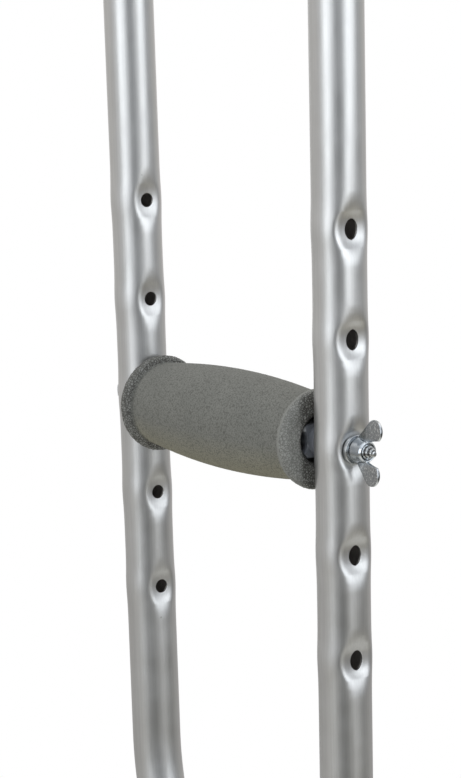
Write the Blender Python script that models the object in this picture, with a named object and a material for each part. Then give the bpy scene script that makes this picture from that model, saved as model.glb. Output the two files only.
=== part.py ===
# Underarm crutch of anodised aluminium tube, with a foam hand grip held by a bolt and wing nut.
# Two dimple-punched uprights carry a padded armrest and bend in to clamp a telescoping leg.
# Lengths are in millimetres and become metres when a mesh is stored.
# +Z is up, +X is forward along the grip bolt, and the origin is under the middle of the rubber tip.

import math

import bmesh
import bpy
from mathutils import Matrix, Vector

# Driving dimensions of the tubes, and the clearance that touching pieces keep
TUBE_R = 11.1
TUBE_WALL = 1.2
LEG_R = 12.7
LEG_WALL = 1.3
GAP = 0.3

# Driving dimensions of the whole crutch
GRIP_Z = 820.0
GRIP_SPACING = 148.0
SPLAY = 0.0078
ARMREST_Z = 1262.0
UPRIGHT_FOOT_Z = 330.0
UPRIGHT_TOP_Z = 1242.0
BEND_BELOW_GRIP = 162.0
BEND_RADIUS = 125.0
BEND_ANGLE = math.radians(15.0)

# Holes and punched dimples of the uprights. The punch stretches a hole taller on the outer side.
HOLE_PITCH = 44.45
HOLE_COUNT = 5
OUTER_HOLE_WIDTH = 6.5
OUTER_HOLE_HEIGHT = 8.5
INNER_HOLE_R = 3.4
OUTER_DIMPLE = 2.8
INNER_DIMPLE = 1.6
DIMPLE_FLOOR = 6.3
DIMPLE_REACH = 13.0
DIMPLE_BULGE = 0.045

# Fasteners, M6 throughout
BOLT_R = 2.9
BOLT_HOLE_R = 3.4
HEX_FLATS = 10.0
HEX_HEIGHT = 4.0
THREAD_END = 5.0
WASHER_R = 6.0
WASHER_BORE_R = 3.5
WASHER_THICK = 1.6
WASHER_DROP = 0.3
NUT_BORE_R = 3.2
RIVET_Z = 1208.0
RIVET_R = 2.4

# Wing nut, turned a little from upright
NUT_TURN = math.radians(-5.5)
HUB_R = 5.2
HUB_TOP_R = 3.8
HUB_HEIGHT = 5.9
EAR_THICK = 1.6
EAR_R = 4.65
EAR_RISE = 9.9
EAR_REACH = 8.8

# Leg: outer tube between the uprights, inner tube on a pair of snap buttons
LEG_FOOT_Z = 132.0
LEG_TOP_Z = 446.0
LEG_BOLT_Z = (350.0, 425.0)
LEG_HOLE_Z = 154.0
LEG_HOLE_PITCH = 25.4
LEG_HOLE_COUNT = 7
LEG_HOLE_R = 4.4
EXTENSION_FOOT_Z = 9.5
EXTENSION_ABOVE_BUTTON = 28.0
BUTTON_R = 3.9
BUTTON_PROUD = 2.9

# Foam hand grip and its plastic core
GRIP_HALF = 61.8
GRIP_MID_R = 21.8
GRIP_END_R = 18.2
GRIP_RIM_R = 21.4
GRIP_RIM_ROLL = 3.2
GRIP_MOUTH_R = 13.7
GRIP_BORE_R = 10.6
GRIP_TILT = math.radians(1.2)
GRIP_DROP = 0.9
CORE_HALF = 64.0
CORE_R = 7.2
CORE_BORE_R = 5.7
LUG_HALF = 60.2
LUG_R = 10.2
LUG_LOW = 4.3
LUG_HIGH = 7.1

# Armrest: plastic saddle with two sockets, and a foam pad over it
SOCKET_R = 13.8
SOCKET_FOOT_Z = 1200.0
SOCKET_TOP_Z = 1248.0
SADDLE_WIDTH = 24.0
SADDLE_DEPTH = 15.0
SADDLE_DISH = 3.5
SADDLE_WALL = 2.4
PAD_THICK = 18.0
PAD_HALF_LENGTH = 111.0
PAD_HALF_WIDTH = 23.0
PAD_FOOT_Z = 1216.0
PAD_MIDDLE_Z = 1243.0
PAD_RISE = 7.0

# Rubber tip
TIP_R = 24.0
TIP_NECK_R = 16.0
TIP_HEIGHT = 50.0
TIP_FLOOR_Z = 7.7
DISC_THICK = 1.2

LEG_CENTRE_X = LEG_R + GAP + TUBE_R
GRIP_HOLES_Z = [GRIP_Z + (i - HOLE_COUNT // 2) * HOLE_PITCH for i in range(HOLE_COUNT)]
BUTTON_Z = LEG_HOLE_Z + LEG_HOLE_COUNT // 2 * LEG_HOLE_PITCH
TO_X = Matrix.Rotation(math.pi / 2, 4, "Y")
TO_Y = Matrix.Rotation(math.pi / 2, 4, "X")
THROUGH = 20.0


# Materials

def material(name, colour, roughness, metallic=0.0):
    made = bpy.data.materials.new(name)
    made.use_nodes = True
    shader = made.node_tree.nodes["Principled BSDF"]
    shader.inputs["Base Color"].default_value = (*colour, 1.0)
    shader.inputs["Roughness"].default_value = roughness
    shader.inputs["Metallic"].default_value = metallic
    return made


# Meshes

def lofted(rings, into=None, matrix=None):
    """Rings of points joined in order, with a flat face across the first and the last."""
    part = bmesh.new()
    loops = [[part.verts.new(point) for point in ring] for ring in rings]
    count = len(rings[0])
    for below, above in zip(loops, loops[1:]):
        for i in range(count):
            j = (i + 1) % count
            part.faces.new((below[i], below[j], above[j], above[i]))
    part.faces.new(loops[0][::-1])
    part.faces.new(loops[-1])
    return poured(part, into, matrix)


def turned(profile, sides=24, ring=False, into=None, matrix=None):
    """A profile of (radius, height) points spun round Z. A ring profile closes on itself."""
    part = bmesh.new()
    points = [part.verts.new((radius, 0.0, height)) for radius, height in profile]
    edges = [part.edges.new(pair) for pair in zip(points, points[1:])]
    if ring:
        edges.append(part.edges.new((points[-1], points[0])))
    bmesh.ops.spin(part, geom=points + edges, cent=(0, 0, 0), axis=(0, 0, 1),
                   angle=math.tau, steps=sides, use_merge=True)
    bmesh.ops.remove_doubles(part, verts=part.verts, dist=0.001)
    return poured(part, into, matrix)


def poured(part, into, matrix):
    """Gives a shape outward faces and a place, and adds it to another where one is named."""
    bmesh.ops.recalc_face_normals(part, faces=part.faces)
    if matrix is not None:
        part.transform(matrix)
    if into is None:
        return part
    carrier = bpy.data.meshes.new("carrier")
    part.to_mesh(carrier)
    part.free()
    into.from_mesh(carrier)
    bpy.data.meshes.remove(carrier)
    return into


def rod(radius, low, high, sides=16, into=None, matrix=None):
    """A plain cylinder along Z from one height to another."""
    return turned([(0, low), (radius, low), (radius, high), (0, high)], sides, False, into, matrix)


def drill(radius, at, turn, sides, into):
    """Adds a cutter that goes right through a tube at a point, along the turned Z axis."""
    return rod(radius, -THROUGH, THROUGH, sides, into, Matrix.Translation(at) @ turn)


def oval(width, height, x, sides=12):
    """An oval ring of points round the X axis, with its width along Y and its height along Z."""
    turns = [math.tau * i / sides for i in range(sides)]
    return [(x, width / 2 * math.cos(a), height / 2 * math.sin(a)) for a in turns]


def circle(radius, x, sides=12):
    """A ring of points round the X axis."""
    return oval(2 * radius, 2 * radius, x, sides)


def hexagon(flats, x, sides=12):
    """A hexagon round the X axis, with as many points as the circle that it meets."""
    ring = []
    for i in range(sides):
        a = math.tau * i / sides
        off = (a % (math.pi / 3)) - math.pi / 6
        radius = flats / 2 / math.cos(off)
        ring.append((x, radius * math.cos(a), radius * math.sin(a)))
    return ring


def stored(part, name, look, at=(0, 0, 0), turn=(0, 0, 0), parent=None):
    """Makes the named object of a finished shape, in metres."""
    mesh = bpy.data.meshes.new(name)
    part.transform(Matrix.Scale(0.001, 4))
    part.to_mesh(mesh)
    part.free()
    mesh.shade_smooth()
    mesh.set_sharp_from_angle(angle=math.radians(32))
    mesh.materials.append(look)
    made = bpy.data.objects.new(name, mesh)
    bpy.context.scene.collection.objects.link(made)
    made.location = Vector(at) * 0.001
    made.rotation_euler = turn
    made.parent = parent
    return made


def cut(target, shape, name, operation="DIFFERENCE"):
    """Cuts a shape, given in the object's own frame, out of it, or joins it on.
    The guide isn't part of the model."""
    guide = stored(shape, name, target.data.materials[0], parent=target)
    guide.hide_render = True
    guide.display_type = "WIRE"
    step = target.modifiers.new(name, "BOOLEAN")
    step.operation = operation
    step.solver = "EXACT"
    step.object = guide
    return target


def pivot(name, at, parent=None):
    """An empty on a joint's axis, which carries the pieces that move together."""
    made = bpy.data.objects.new(name, None)
    bpy.context.scene.collection.objects.link(made)
    made.location = Vector(at) * 0.001
    made.parent = parent
    return made


# Centreline of an upright: straight up beside the leg, out on two bends, then up past the grip

def upright_bends():
    """The heights and reaches where the straight runs meet the two bends."""
    splay = math.atan(SPLAY)
    top_z = GRIP_Z - BEND_BELOW_GRIP
    top_x = GRIP_SPACING / 2 - BEND_BELOW_GRIP * SPLAY
    centre_x = top_x - BEND_RADIUS * math.cos(splay)
    centre_z = top_z + BEND_RADIUS * math.sin(splay)
    high_x = centre_x + BEND_RADIUS * math.cos(BEND_ANGLE)
    high_z = centre_z - BEND_RADIUS * math.sin(BEND_ANGLE)
    low_x = LEG_CENTRE_X + BEND_RADIUS * (1 - math.cos(BEND_ANGLE))
    low_z = high_z - (high_x - low_x) / math.tan(BEND_ANGLE)
    foot_z = low_z - BEND_RADIUS * math.sin(BEND_ANGLE)
    return {"foot_z": foot_z, "low": (low_x, low_z), "high": (high_x, high_z),
            "centre": (centre_x, centre_z), "top_z": top_z, "splay": splay}


BENDS = upright_bends()


def centreline(z):
    """The upright's distance from the middle plane and its lean at a height."""
    if z <= BENDS["foot_z"]:
        return LEG_CENTRE_X, 0.0
    if z <= BENDS["low"][1]:
        lean = math.asin((z - BENDS["foot_z"]) / BEND_RADIUS)
        return LEG_CENTRE_X + BEND_RADIUS * (1 - math.cos(lean)), lean
    if z <= BENDS["high"][1]:
        return BENDS["low"][0] + (z - BENDS["low"][1]) * math.tan(BEND_ANGLE), BEND_ANGLE
    if z <= BENDS["top_z"]:
        lean = math.asin((BENDS["centre"][1] - z) / BEND_RADIUS)
        return BENDS["centre"][0] + BEND_RADIUS * math.cos(lean), lean
    return GRIP_SPACING / 2 + (z - GRIP_Z) * SPLAY, BENDS["splay"]


# Punched dimples: a flat seat round each hole, run out into the round tube above and below

def punch(z, centre):
    """How much of a dimple's depth is there at a height, from 1 on its floor to 0 past its end."""
    away = abs(z - centre)
    run = min(1.0, max(0.0, (away - DIMPLE_FLOOR) / (DIMPLE_REACH - DIMPLE_FLOOR)))
    return 1.0 - run * run * (3.0 - 2.0 * run)


def section(z, radius, sides):
    """One ring of the upright, flattened on its outer and inner faces by the dimples."""
    reach, lean = centreline(z)
    at_grip = sum(punch(z, hole) for hole in GRIP_HOLES_Z)
    at_leg = sum(punch(z, hole) for hole in LEG_BOLT_Z)
    outer = radius - OUTER_DIMPLE * (at_grip + at_leg)
    inner = radius - INNER_DIMPLE * at_grip
    widen = 1.0 + DIMPLE_BULGE * (at_grip + at_leg)
    ring = []
    for i in range(sides):
        a = math.tau * i / sides
        out = max(-inner, min(outer, radius * math.cos(a)))
        y = radius * math.sin(a) * widen
        ring.append((reach + out * math.cos(lean), y, z - out * math.sin(lean)))
    return ring


def ring_heights(steps, bend_steps):
    """Heights of the rings: a few over each dimple and round each bend."""
    heights = [UPRIGHT_FOOT_Z, UPRIGHT_TOP_Z]
    for hole in (*LEG_BOLT_Z, *GRIP_HOLES_Z):
        for step in steps:
            heights += [hole - step, hole + step]
    for i in range(bend_steps + 1):
        lean = BEND_ANGLE * i / bend_steps
        heights.append(BENDS["foot_z"] + BEND_RADIUS * math.sin(lean))
        heights.append(min(BENDS["top_z"], BENDS["centre"][1] - BEND_RADIUS * math.sin(lean)))
    return sorted(heights)


def upright(name, side, look):
    """A bent tube with its bore, five grip holes, two leg holes and a rivet hole."""
    run_out = (DIMPLE_FLOOR, (DIMPLE_FLOOR + DIMPLE_REACH) / 2, DIMPLE_REACH)
    rings = [section(z, TUBE_R, 16) for z in ring_heights(run_out, 3)]
    tube = stored(lofted(rings), name, look, turn=(0, 0, 0 if side > 0 else math.pi))
    heights = ring_heights((DIMPLE_FLOOR, DIMPLE_REACH - 1), 3)
    heights[0] -= TUBE_WALL
    heights[-1] += TUBE_WALL
    cut(tube, lofted([section(z, TUBE_R - TUBE_WALL, 12) for z in heights]), name + "_bore")
    holes = bmesh.new()
    punched = [circle(INNER_HOLE_R, x) for x in (-THROUGH, -1)]
    punched += [oval(OUTER_HOLE_WIDTH, OUTER_HOLE_HEIGHT, x) for x in (1, THROUGH)]
    for z in GRIP_HOLES_Z:
        lofted(punched, holes, Matrix.Translation((centreline(z)[0], 0, z)))
    for z in LEG_BOLT_Z:
        drill(BOLT_HOLE_R, (LEG_CENTRE_X, 0, z), TO_X, 10, holes)
    drill(RIVET_R + GAP, (centreline(RIVET_Z)[0], 0, RIVET_Z), TO_Y, 8, holes)
    return cut(tube, holes, name + "_holes")


def end_plug(name, tube_r, wall, at, look, facing=1.0):
    """A plastic plug: a stem inside the tube's end and a low dome that covers the wall."""
    stem_r = tube_r - wall - 2 * GAP
    stem = 6.0
    dome = 4.0
    profile = [(0, -stem), (stem_r - 0.8, -stem), (stem_r, 1 - stem), (stem_r, GAP), (tube_r, GAP),
               (tube_r, 0.4 * dome), (0.82 * tube_r, 0.75 * dome), (0.45 * tube_r, 0.95 * dome), (0, dome)]
    turn = (0, 0, 0) if facing > 0 else (math.pi, 0, 0)
    return stored(turned(profile, 16), name, look, at, turn)


# Fasteners, made along X with the head at the low end

def hex_bolt(name, look, length, at, parent=None):
    """An M6 bolt: a hexagon head with a chamfered top, a plain shank and a chamfered end."""
    chamfer = 0.7
    point = 1.6
    rings = [circle(0.92 * HEX_FLATS / 2, -HEX_HEIGHT), hexagon(HEX_FLATS, chamfer - HEX_HEIGHT),
             hexagon(HEX_FLATS, 0), circle(BOLT_R, 0), circle(BOLT_R, length - point),
             circle(0.7 * BOLT_R, length)]
    return stored(lofted(rings), name, look, at, parent=parent)


def washer(name, look, at, parent=None):
    """A flat M6 washer that lies across X and hangs a little low on its bolt."""
    profile = [(WASHER_BORE_R, 0), (WASHER_R, 0), (WASHER_R, WASHER_THICK), (WASHER_BORE_R, WASHER_THICK)]
    place = Vector(at) - Vector((0, 0, WASHER_DROP))
    return stored(turned(profile, 16, True, None, TO_X), name, look, place, parent=parent)


def cap_nut(name, look, at):
    """A domed nut with a blind bore, which hides the end of a leg bolt."""
    prism = 5.0
    blind = 8.0
    dome_r = 4.9
    dome = [circle(dome_r * math.cos(a), prism + dome_r * math.sin(a)) for a in (0.0, 0.4, 0.8, 1.2)]
    bore = [circle(NUT_BORE_R, blind), circle(NUT_BORE_R, 0)]
    return stored(lofted([*bore, hexagon(HEX_FLATS, 0), hexagon(HEX_FLATS, prism), *dome]), name, look, at)


def ear_outline():
    """One ear of the wing nut in (height along the bolt, distance from it).
    A straight back edge climbs from the hub's foot to a round ear."""
    turns = [math.radians(140 - 16 * i) for i in range(13)]
    ear = [(EAR_RISE + EAR_R * math.cos(a), EAR_REACH + EAR_R * math.sin(a)) for a in turns]
    return [(0.6, HUB_TOP_R), (0.6, HUB_R - 0.4), *ear, (HUB_HEIGHT - 0.3, HUB_TOP_R - 0.3)]


def wing_nut(name, look, at, parent):
    """A round tapered hub with two ears that rise past its top."""
    hub = [(NUT_BORE_R, 0), (HUB_R, 0), (HUB_R, 1.0), (HUB_R - 0.7, 0.65 * HUB_HEIGHT),
           (HUB_TOP_R, HUB_HEIGHT), (NUT_BORE_R, HUB_HEIGHT)]
    nut = stored(turned(hub, 16, True, None, TO_X), name, look, at, (NUT_TURN, 0, 0), parent)
    half = EAR_THICK / 2
    for side, label in ((1, "upper"), (-1, "lower")):
        faces = [[(h, y, side * r) for h, r in ear_outline()] for y in (-half, half)]
        cut(nut, lofted(faces), name + "_" + label + "_ear", "UNION")
    return nut


# Hand grip

def grip_profile():
    """The sleeve's section in (radius, distance along the grip), from one end to the other."""
    half = []
    roll_at = GRIP_HALF - GRIP_RIM_ROLL
    body_end = roll_at - GRIP_RIM_ROLL
    for i in range(5):
        share = i / 4
        half.append((GRIP_MID_R + (GRIP_END_R - GRIP_MID_R) * share ** 2, body_end * share))
    for i in range(5):
        a = math.radians(160 - 40 * i)
        radius = GRIP_RIM_R - GRIP_RIM_ROLL + GRIP_RIM_ROLL * math.sin(a)
        half.append((radius, roll_at + GRIP_RIM_ROLL * math.cos(a)))
    bevel = GRIP_MOUTH_R - GRIP_BORE_R
    half += [(GRIP_MOUTH_R, GRIP_HALF), (GRIP_BORE_R, GRIP_HALF - bevel)]
    return [(r, -x) for r, x in half[:0:-1]] + half


def grip_sleeve(name, look, at, turn):
    """The foam sleeve: a belly in the middle and a rolled rim at each end."""
    return stored(turned(grip_profile(), 20, True, None, TO_X), name, look, at, turn)


def core_ring(x, radius, lugged=False):
    """A ring of the core: round, with two level lugs on each side where it is lugged."""
    low, high = (math.asin(height / CORE_R) for height in (LUG_LOW, LUG_HIGH))
    tips = [(radius, 0.8 * low + 0.2 * high), (radius, 0.2 * low + 0.8 * high)]
    if lugged:
        tips = [(LUG_R, math.asin(height / LUG_R)) for height in (LUG_LOW, LUG_HIGH)]
    quarter = [(radius, 0.0), (radius, low), *tips, (radius, high)]
    half = quarter + [(r, math.pi - a) for r, a in quarter[:0:-1]]
    ring = [(r, a + turn) for turn in (0.0, math.pi) for r, a in half]
    return [(x, r * math.cos(a), r * math.sin(a)) for r, a in ring]


def grip_core(name, look, at, turn):
    """The plastic core: a tube with four lugs, whose ends seat in the inner dimples."""
    chamfer = 0.8
    rings = []
    for side in (-1, 1):
        end = [core_ring(side * CORE_HALF, CORE_R - chamfer),
               core_ring(side * (CORE_HALF - chamfer), CORE_R),
               core_ring(side * LUG_HALF, CORE_R),
               core_ring(side * (LUG_HALF - GAP), CORE_R, True)]
        rings += end if side < 0 else end[::-1]
    core = stored(lofted(rings), name, look, at, turn)
    return cut(core, rod(CORE_BORE_R, -CORE_HALF - 1, CORE_HALF + 1, 20, None, TO_X), name + "_bore")


# Armrest

def saddle_top(x):
    """Height of the saddle's crossbar, which dips in the middle."""
    return ARMREST_Z - PAD_THICK + SADDLE_DISH * (x / centreline(SOCKET_TOP_Z)[0]) ** 2


def saddle_ring(x):
    """A rounded box section of the crossbar."""
    top = saddle_top(x)
    half = SADDLE_WIDTH / 2
    round_off = 4.0
    corner = 0.3 * round_off
    right = [(half, top - SADDLE_DEPTH), (half, top - round_off), (half - corner, top - corner),
             (half - round_off, top)]
    return [(x, y, z) for y, z in right] + [(x, -y, z) for y, z in right[::-1]]


def arm_saddle(name, look):
    """A moulded crossbar, ribbed underneath, with a socket at each end for an upright."""
    reach, lean = centreline(SOCKET_TOP_Z)
    bar = stored(lofted([saddle_ring(reach * i / 4) for i in range(-4, 5)]), name, look)
    sockets = bmesh.new()
    bores = bmesh.new()
    foot = SOCKET_FOOT_Z - SOCKET_TOP_Z
    roof = -4.0
    for side in (1, -1):
        place = Matrix.Translation((side * reach, 0, SOCKET_TOP_Z)) @ Matrix.Rotation(side * lean, 4, "Y")
        outer = [(0, foot), (SOCKET_R - 0.6, foot), (SOCKET_R, foot + 0.6), (SOCKET_R, -2.0),
                 (SOCKET_R - 2.0, 0), (0, 0)]
        turned(outer, 20, False, sockets, place)
        rod(TUBE_R + GAP, foot - 2.0, roof, 20, bores, place)
        drill(RIVET_R + GAP, (side * centreline(RIVET_Z)[0], 0, RIVET_Z), TO_Y, 8, bores)
    count = 5
    pitch = (reach - SOCKET_R - SADDLE_WALL) / (count / 2)
    across = SADDLE_WIDTH / 2 - SADDLE_WALL
    along = (pitch - SADDLE_WALL) / 2
    for i in range(count):
        middle = (i - count // 2) * pitch
        roof_z = saddle_top(middle) - SADDLE_WALL
        corners = [(-along, -across), (along, -across), (along, across), (-along, across)]
        lofted([[(middle + x, y, z) for x, y in corners] for z in (roof_z - 2 * SADDLE_DEPTH, roof_z)], bores)
    cut(bar, sockets, name + "_sockets", "UNION")
    return cut(bar, bores, name + "_bores")


def pad_ring(share):
    """A ring of the pad at a share of its half length: crowned, with the ends drawn in."""
    end = (1 - abs(share) ** 7) ** 0.4
    up = (ARMREST_Z - PAD_MIDDLE_Z + PAD_RISE * share ** 2) * end
    down = (PAD_MIDDLE_Z - PAD_FOOT_Z) * end
    ring = []
    for i in range(20):
        a = math.tau * i / 20
        c, s = math.cos(a), math.sin(a)
        y = PAD_HALF_WIDTH * end * math.copysign(abs(c) ** 0.75, c)
        z = (up if s > 0 else down) * math.copysign(abs(s) ** 0.85, s)
        ring.append((PAD_HALF_LENGTH * share, y, PAD_MIDDLE_Z + z))
    return ring


def underarm_pad(name, look):
    """A foam pad, dished along its top, which slips down over the saddle and its sockets."""
    shares = [0.0, 0.25, 0.5, 0.68, 0.82, 0.91, 0.965, 0.993]
    shares = [-s for s in shares[:0:-1]] + shares
    pad = stored(lofted([pad_ring(share) for share in shares]), name, look)
    reach = centreline(SOCKET_TOP_Z)[0]
    width = SOCKET_R + 2 * GAP
    around = []
    for side in (1, -1):
        for i in range(9):
            a = math.radians(-90 + 22.5 * i) + (0 if side > 0 else math.pi)
            around.append((side * reach + width * math.cos(a), width * math.sin(a)))
    slot = lofted([[(x, y, z) for x, y in around] for z in (PAD_FOOT_Z - 10, SOCKET_TOP_Z + 2 * GAP)])
    return cut(pad, slot, name + "_slot")


def rivet(name, side, look):
    """A through rivet with a low dome at each end."""
    length = SOCKET_R + GAP
    head_r = 4.4
    dome = [(head_r, length), (head_r - 0.2, length + 0.8), (0.6 * head_r, length + 1.6), (0, length + 1.8)]
    half = [(RIVET_R, length), *dome]
    profile = [(r, -y) for r, y in half[::-1]] + half
    at = (side * centreline(RIVET_Z)[0], 0, RIVET_Z)
    return stored(turned(profile, 12), name, look, at, (math.pi / 2, 0, 0))


# Leg

def tube_profile(radius, wall, low, high):
    """The half section of a plain tube."""
    return [(radius - wall, low), (radius, low), (radius, high), (radius - wall, high)]


def leg_tube(name, look):
    """The outer leg tube: seven pairs of button holes and two bolt holes."""
    tube = stored(turned(tube_profile(LEG_R, LEG_WALL, LEG_FOOT_Z, LEG_TOP_Z), 20, True), name, look)
    holes = bmesh.new()
    for i in range(LEG_HOLE_COUNT):
        drill(LEG_HOLE_R, (0, 0, LEG_HOLE_Z + i * LEG_HOLE_PITCH), TO_Y, 10, holes)
    for z in LEG_BOLT_Z:
        drill(BOLT_HOLE_R, (0, 0, z), TO_X, 8, holes)
    return cut(tube, holes, name + "_holes")


def leg_collar(name, look):
    """The plastic bush over the leg tube's foot, whose lip steadies the inner tube."""
    lip_r = TUBE_R + GAP
    seat_r = LEG_R + GAP
    outer = LEG_R + 2.2
    foot = LEG_FOOT_Z - 3.5
    top = LEG_FOOT_Z + 14.0
    profile = [(lip_r, foot), (outer - 1, foot), (outer, foot + 1), (outer, top - 2), (outer - 1, top),
               (seat_r, top), (seat_r, LEG_FOOT_Z - GAP), (lip_r, LEG_FOOT_Z - GAP)]
    return stored(turned(profile, 20, True), name, look)


def extension_tube(name, look, carrier):
    """The inner leg tube, with a hole on each side for a snap button."""
    profile = tube_profile(TUBE_R, TUBE_WALL, EXTENSION_FOOT_Z - BUTTON_Z, EXTENSION_ABOVE_BUTTON)
    tube = stored(turned(profile, 20, True), name, look, parent=carrier)
    return cut(tube, rod(BUTTON_R + GAP, -THROUGH, THROUGH, 12, None, TO_Y), name + "_hole")


def snap_button(name, side, look, carrier):
    """A domed steel button whose flange stays inside the inner tube."""
    inside = TUBE_R - TUBE_WALL - 1.7
    tip = LEG_R + BUTTON_PROUD
    flange_r = BUTTON_R + 1.1
    profile = [(0, inside - 1.2), (flange_r, inside - 1.2), (flange_r, inside), (BUTTON_R, inside),
               (BUTTON_R, tip - 1.6), (0.86 * BUTTON_R, tip - 0.8), (0.5 * BUTTON_R, tip - 0.2), (0, tip)]
    return stored(turned(profile, 12), name, look, turn=(side * math.pi / 2, 0, 0), parent=carrier)


def snap_spring(name, look, carrier):
    """A strip of spring steel bent into a U, which pushes the two buttons apart."""
    arm = TUBE_R - TUBE_WALL - 3.5
    width = 7.0
    thick = 0.6
    loop_r = 3.6
    loop_z = -32.0
    line = [Vector((0, -arm, width)), Vector((0, -arm, -width))]
    for i in range(7):
        a = math.pi + math.pi * i / 6
        line.append(Vector((0, loop_r * math.cos(a), loop_z + loop_r * math.sin(a))))
    line += [Vector((0, arm, -width)), Vector((0, arm, width))]
    outline = []
    for side in (thick / 2, -thick / 2):
        edge = []
        for i, point in enumerate(line):
            along = line[min(i + 1, len(line) - 1)] - line[max(i - 1, 0)]
            edge.append(point + Vector((0, along.z, -along.y)).normalized() * side)
        outline += edge if side > 0 else edge[::-1]
    faces = [[(x, point.y, point.z) for point in outline] for x in (-width / 2, width / 2)]
    return stored(lofted(faces), name, look, parent=carrier)


def rubber_tip(name, look, carrier):
    """The ferrule: a flared foot with a hollow sole, a ringed neck and a blind bore."""
    bore = TUBE_R + GAP
    flare_low, flare_high = 4.0, 20.0
    profile = [(0, 1.6), (8.5, 1.6), (10.0, 0), (0.9 * TIP_R, 0), (TIP_R - 0.6, 1.2)]
    for i in range(6):
        share = (1 + math.cos(math.pi * i / 5)) / 2
        height = flare_low + (flare_high - flare_low) * i / 5
        profile.append((TIP_NECK_R + (TIP_R - TIP_NECK_R) * share, height))
    for ring in (27.0, 36.0):
        profile += [(TIP_NECK_R, ring), (TIP_NECK_R + 1, ring + 1), (TIP_NECK_R + 1, ring + 3),
                    (TIP_NECK_R, ring + 4)]
    profile += [(TIP_NECK_R, TIP_HEIGHT - 2), (TIP_NECK_R - 1.2, TIP_HEIGHT), (bore, TIP_HEIGHT),
                (bore, TIP_FLOOR_Z), (0, TIP_FLOOR_Z)]
    return stored(turned([(r, z - BUTTON_Z) for r, z in profile], 20), name, look, parent=carrier)


def tip_disc(name, look, carrier):
    """The steel disc in the tip, which keeps the tube from cutting through the rubber."""
    low = TIP_FLOOR_Z + GAP - BUTTON_Z
    return stored(rod(TUBE_R - GAP, low, low + DISC_THICK, 16), name, look, parent=carrier)


def crutch():
    """Makes every piece in its place."""
    aluminium = material("anodised_aluminium", (0.62, 0.62, 0.60), 0.34, 1.0)
    foam = material("grey_foam", (0.19, 0.19, 0.17), 0.85)
    plastic = material("dark_plastic", (0.045, 0.05, 0.06), 0.5)
    zinc = material("zinc_plate", (0.6, 0.62, 0.64), 0.25, 1.0)
    steel = material("spring_steel", (0.32, 0.32, 0.33), 0.35, 1.0)
    rubber = material("grey_rubber", (0.1, 0.1, 0.095), 0.8)

    upright("front_upright", 1, aluminium)
    upright("rear_upright", -1, aluminium)
    end_plug("front_foot_plug", TUBE_R, TUBE_WALL, (LEG_CENTRE_X, 0, UPRIGHT_FOOT_Z), plastic, -1)
    end_plug("rear_foot_plug", TUBE_R, TUBE_WALL, (-LEG_CENTRE_X, 0, UPRIGHT_FOOT_Z), plastic, -1)

    arm_saddle("arm_saddle", plastic)
    underarm_pad("underarm_pad", foam)
    rivet("front_rivet", 1, zinc)
    rivet("rear_rivet", -1, zinc)

    drop = (0, 0, GRIP_Z - GRIP_DROP)
    tilt = (0, -GRIP_TILT, 0)
    grip_sleeve("grip_sleeve", foam, drop, tilt)
    grip_core("grip_core", plastic, drop, tilt)

    seat = GRIP_SPACING / 2 + TUBE_R - OUTER_DIMPLE + GAP
    stack = WASHER_THICK + GAP
    bolt_body = pivot("grip_bolt_slide", (-seat - stack, 0, GRIP_Z))
    length = 2 * seat + 2 * stack + HUB_HEIGHT + THREAD_END
    hex_bolt("grip_bolt", zinc, length, (0, 0, 0), bolt_body)
    washer("rear_washer", zinc, (GAP, 0, 0), bolt_body)
    washer("front_washer", zinc, (seat, 0, GRIP_Z))
    nut_body = pivot("wing_nut_turn", (seat + stack, 0, GRIP_Z))
    wing_nut("wing_nut", zinc, (0, 0, 0), nut_body)

    leg_tube("leg_tube", aluminium)
    end_plug("leg_cap", LEG_R, LEG_WALL, (0, 0, LEG_TOP_Z), plastic)
    leg_collar("leg_collar", plastic)
    seat = LEG_CENTRE_X + TUBE_R - OUTER_DIMPLE + GAP
    in_nut = 7.0
    for label, z in zip(("lower", "upper"), LEG_BOLT_Z):
        hex_bolt(label + "_leg_bolt", zinc, 2 * seat + in_nut, (-seat, 0, z))
        cap_nut(label + "_leg_nut", zinc, (seat, 0, z))

    inner_leg = pivot("leg_slide", (0, 0, BUTTON_Z))
    extension_tube("extension_tube", aluminium, inner_leg)
    rubber_tip("rubber_tip", rubber, inner_leg)
    tip_disc("tip_disc", steel, inner_leg)
    snap_spring("snap_spring", steel, inner_leg)
    snap_button("right_button", 1, steel, inner_leg)
    snap_button("left_button", -1, steel, inner_leg)


for old in list(bpy.data.objects):
    bpy.data.objects.remove(old)
crutch()
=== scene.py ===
# Underarm crutch of anodised aluminium tube with a foam grip on a wing-nut bolt, dressed for rendering.
# Lengths are in millimetres and become metres when a piece is stored.
# +Z is up, +X is forward along the grip bolt, and the origin is under the middle of the rubber tip.

import math

import bmesh
import bpy
import numpy as np
from mathutils import Matrix, Vector, noise


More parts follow.
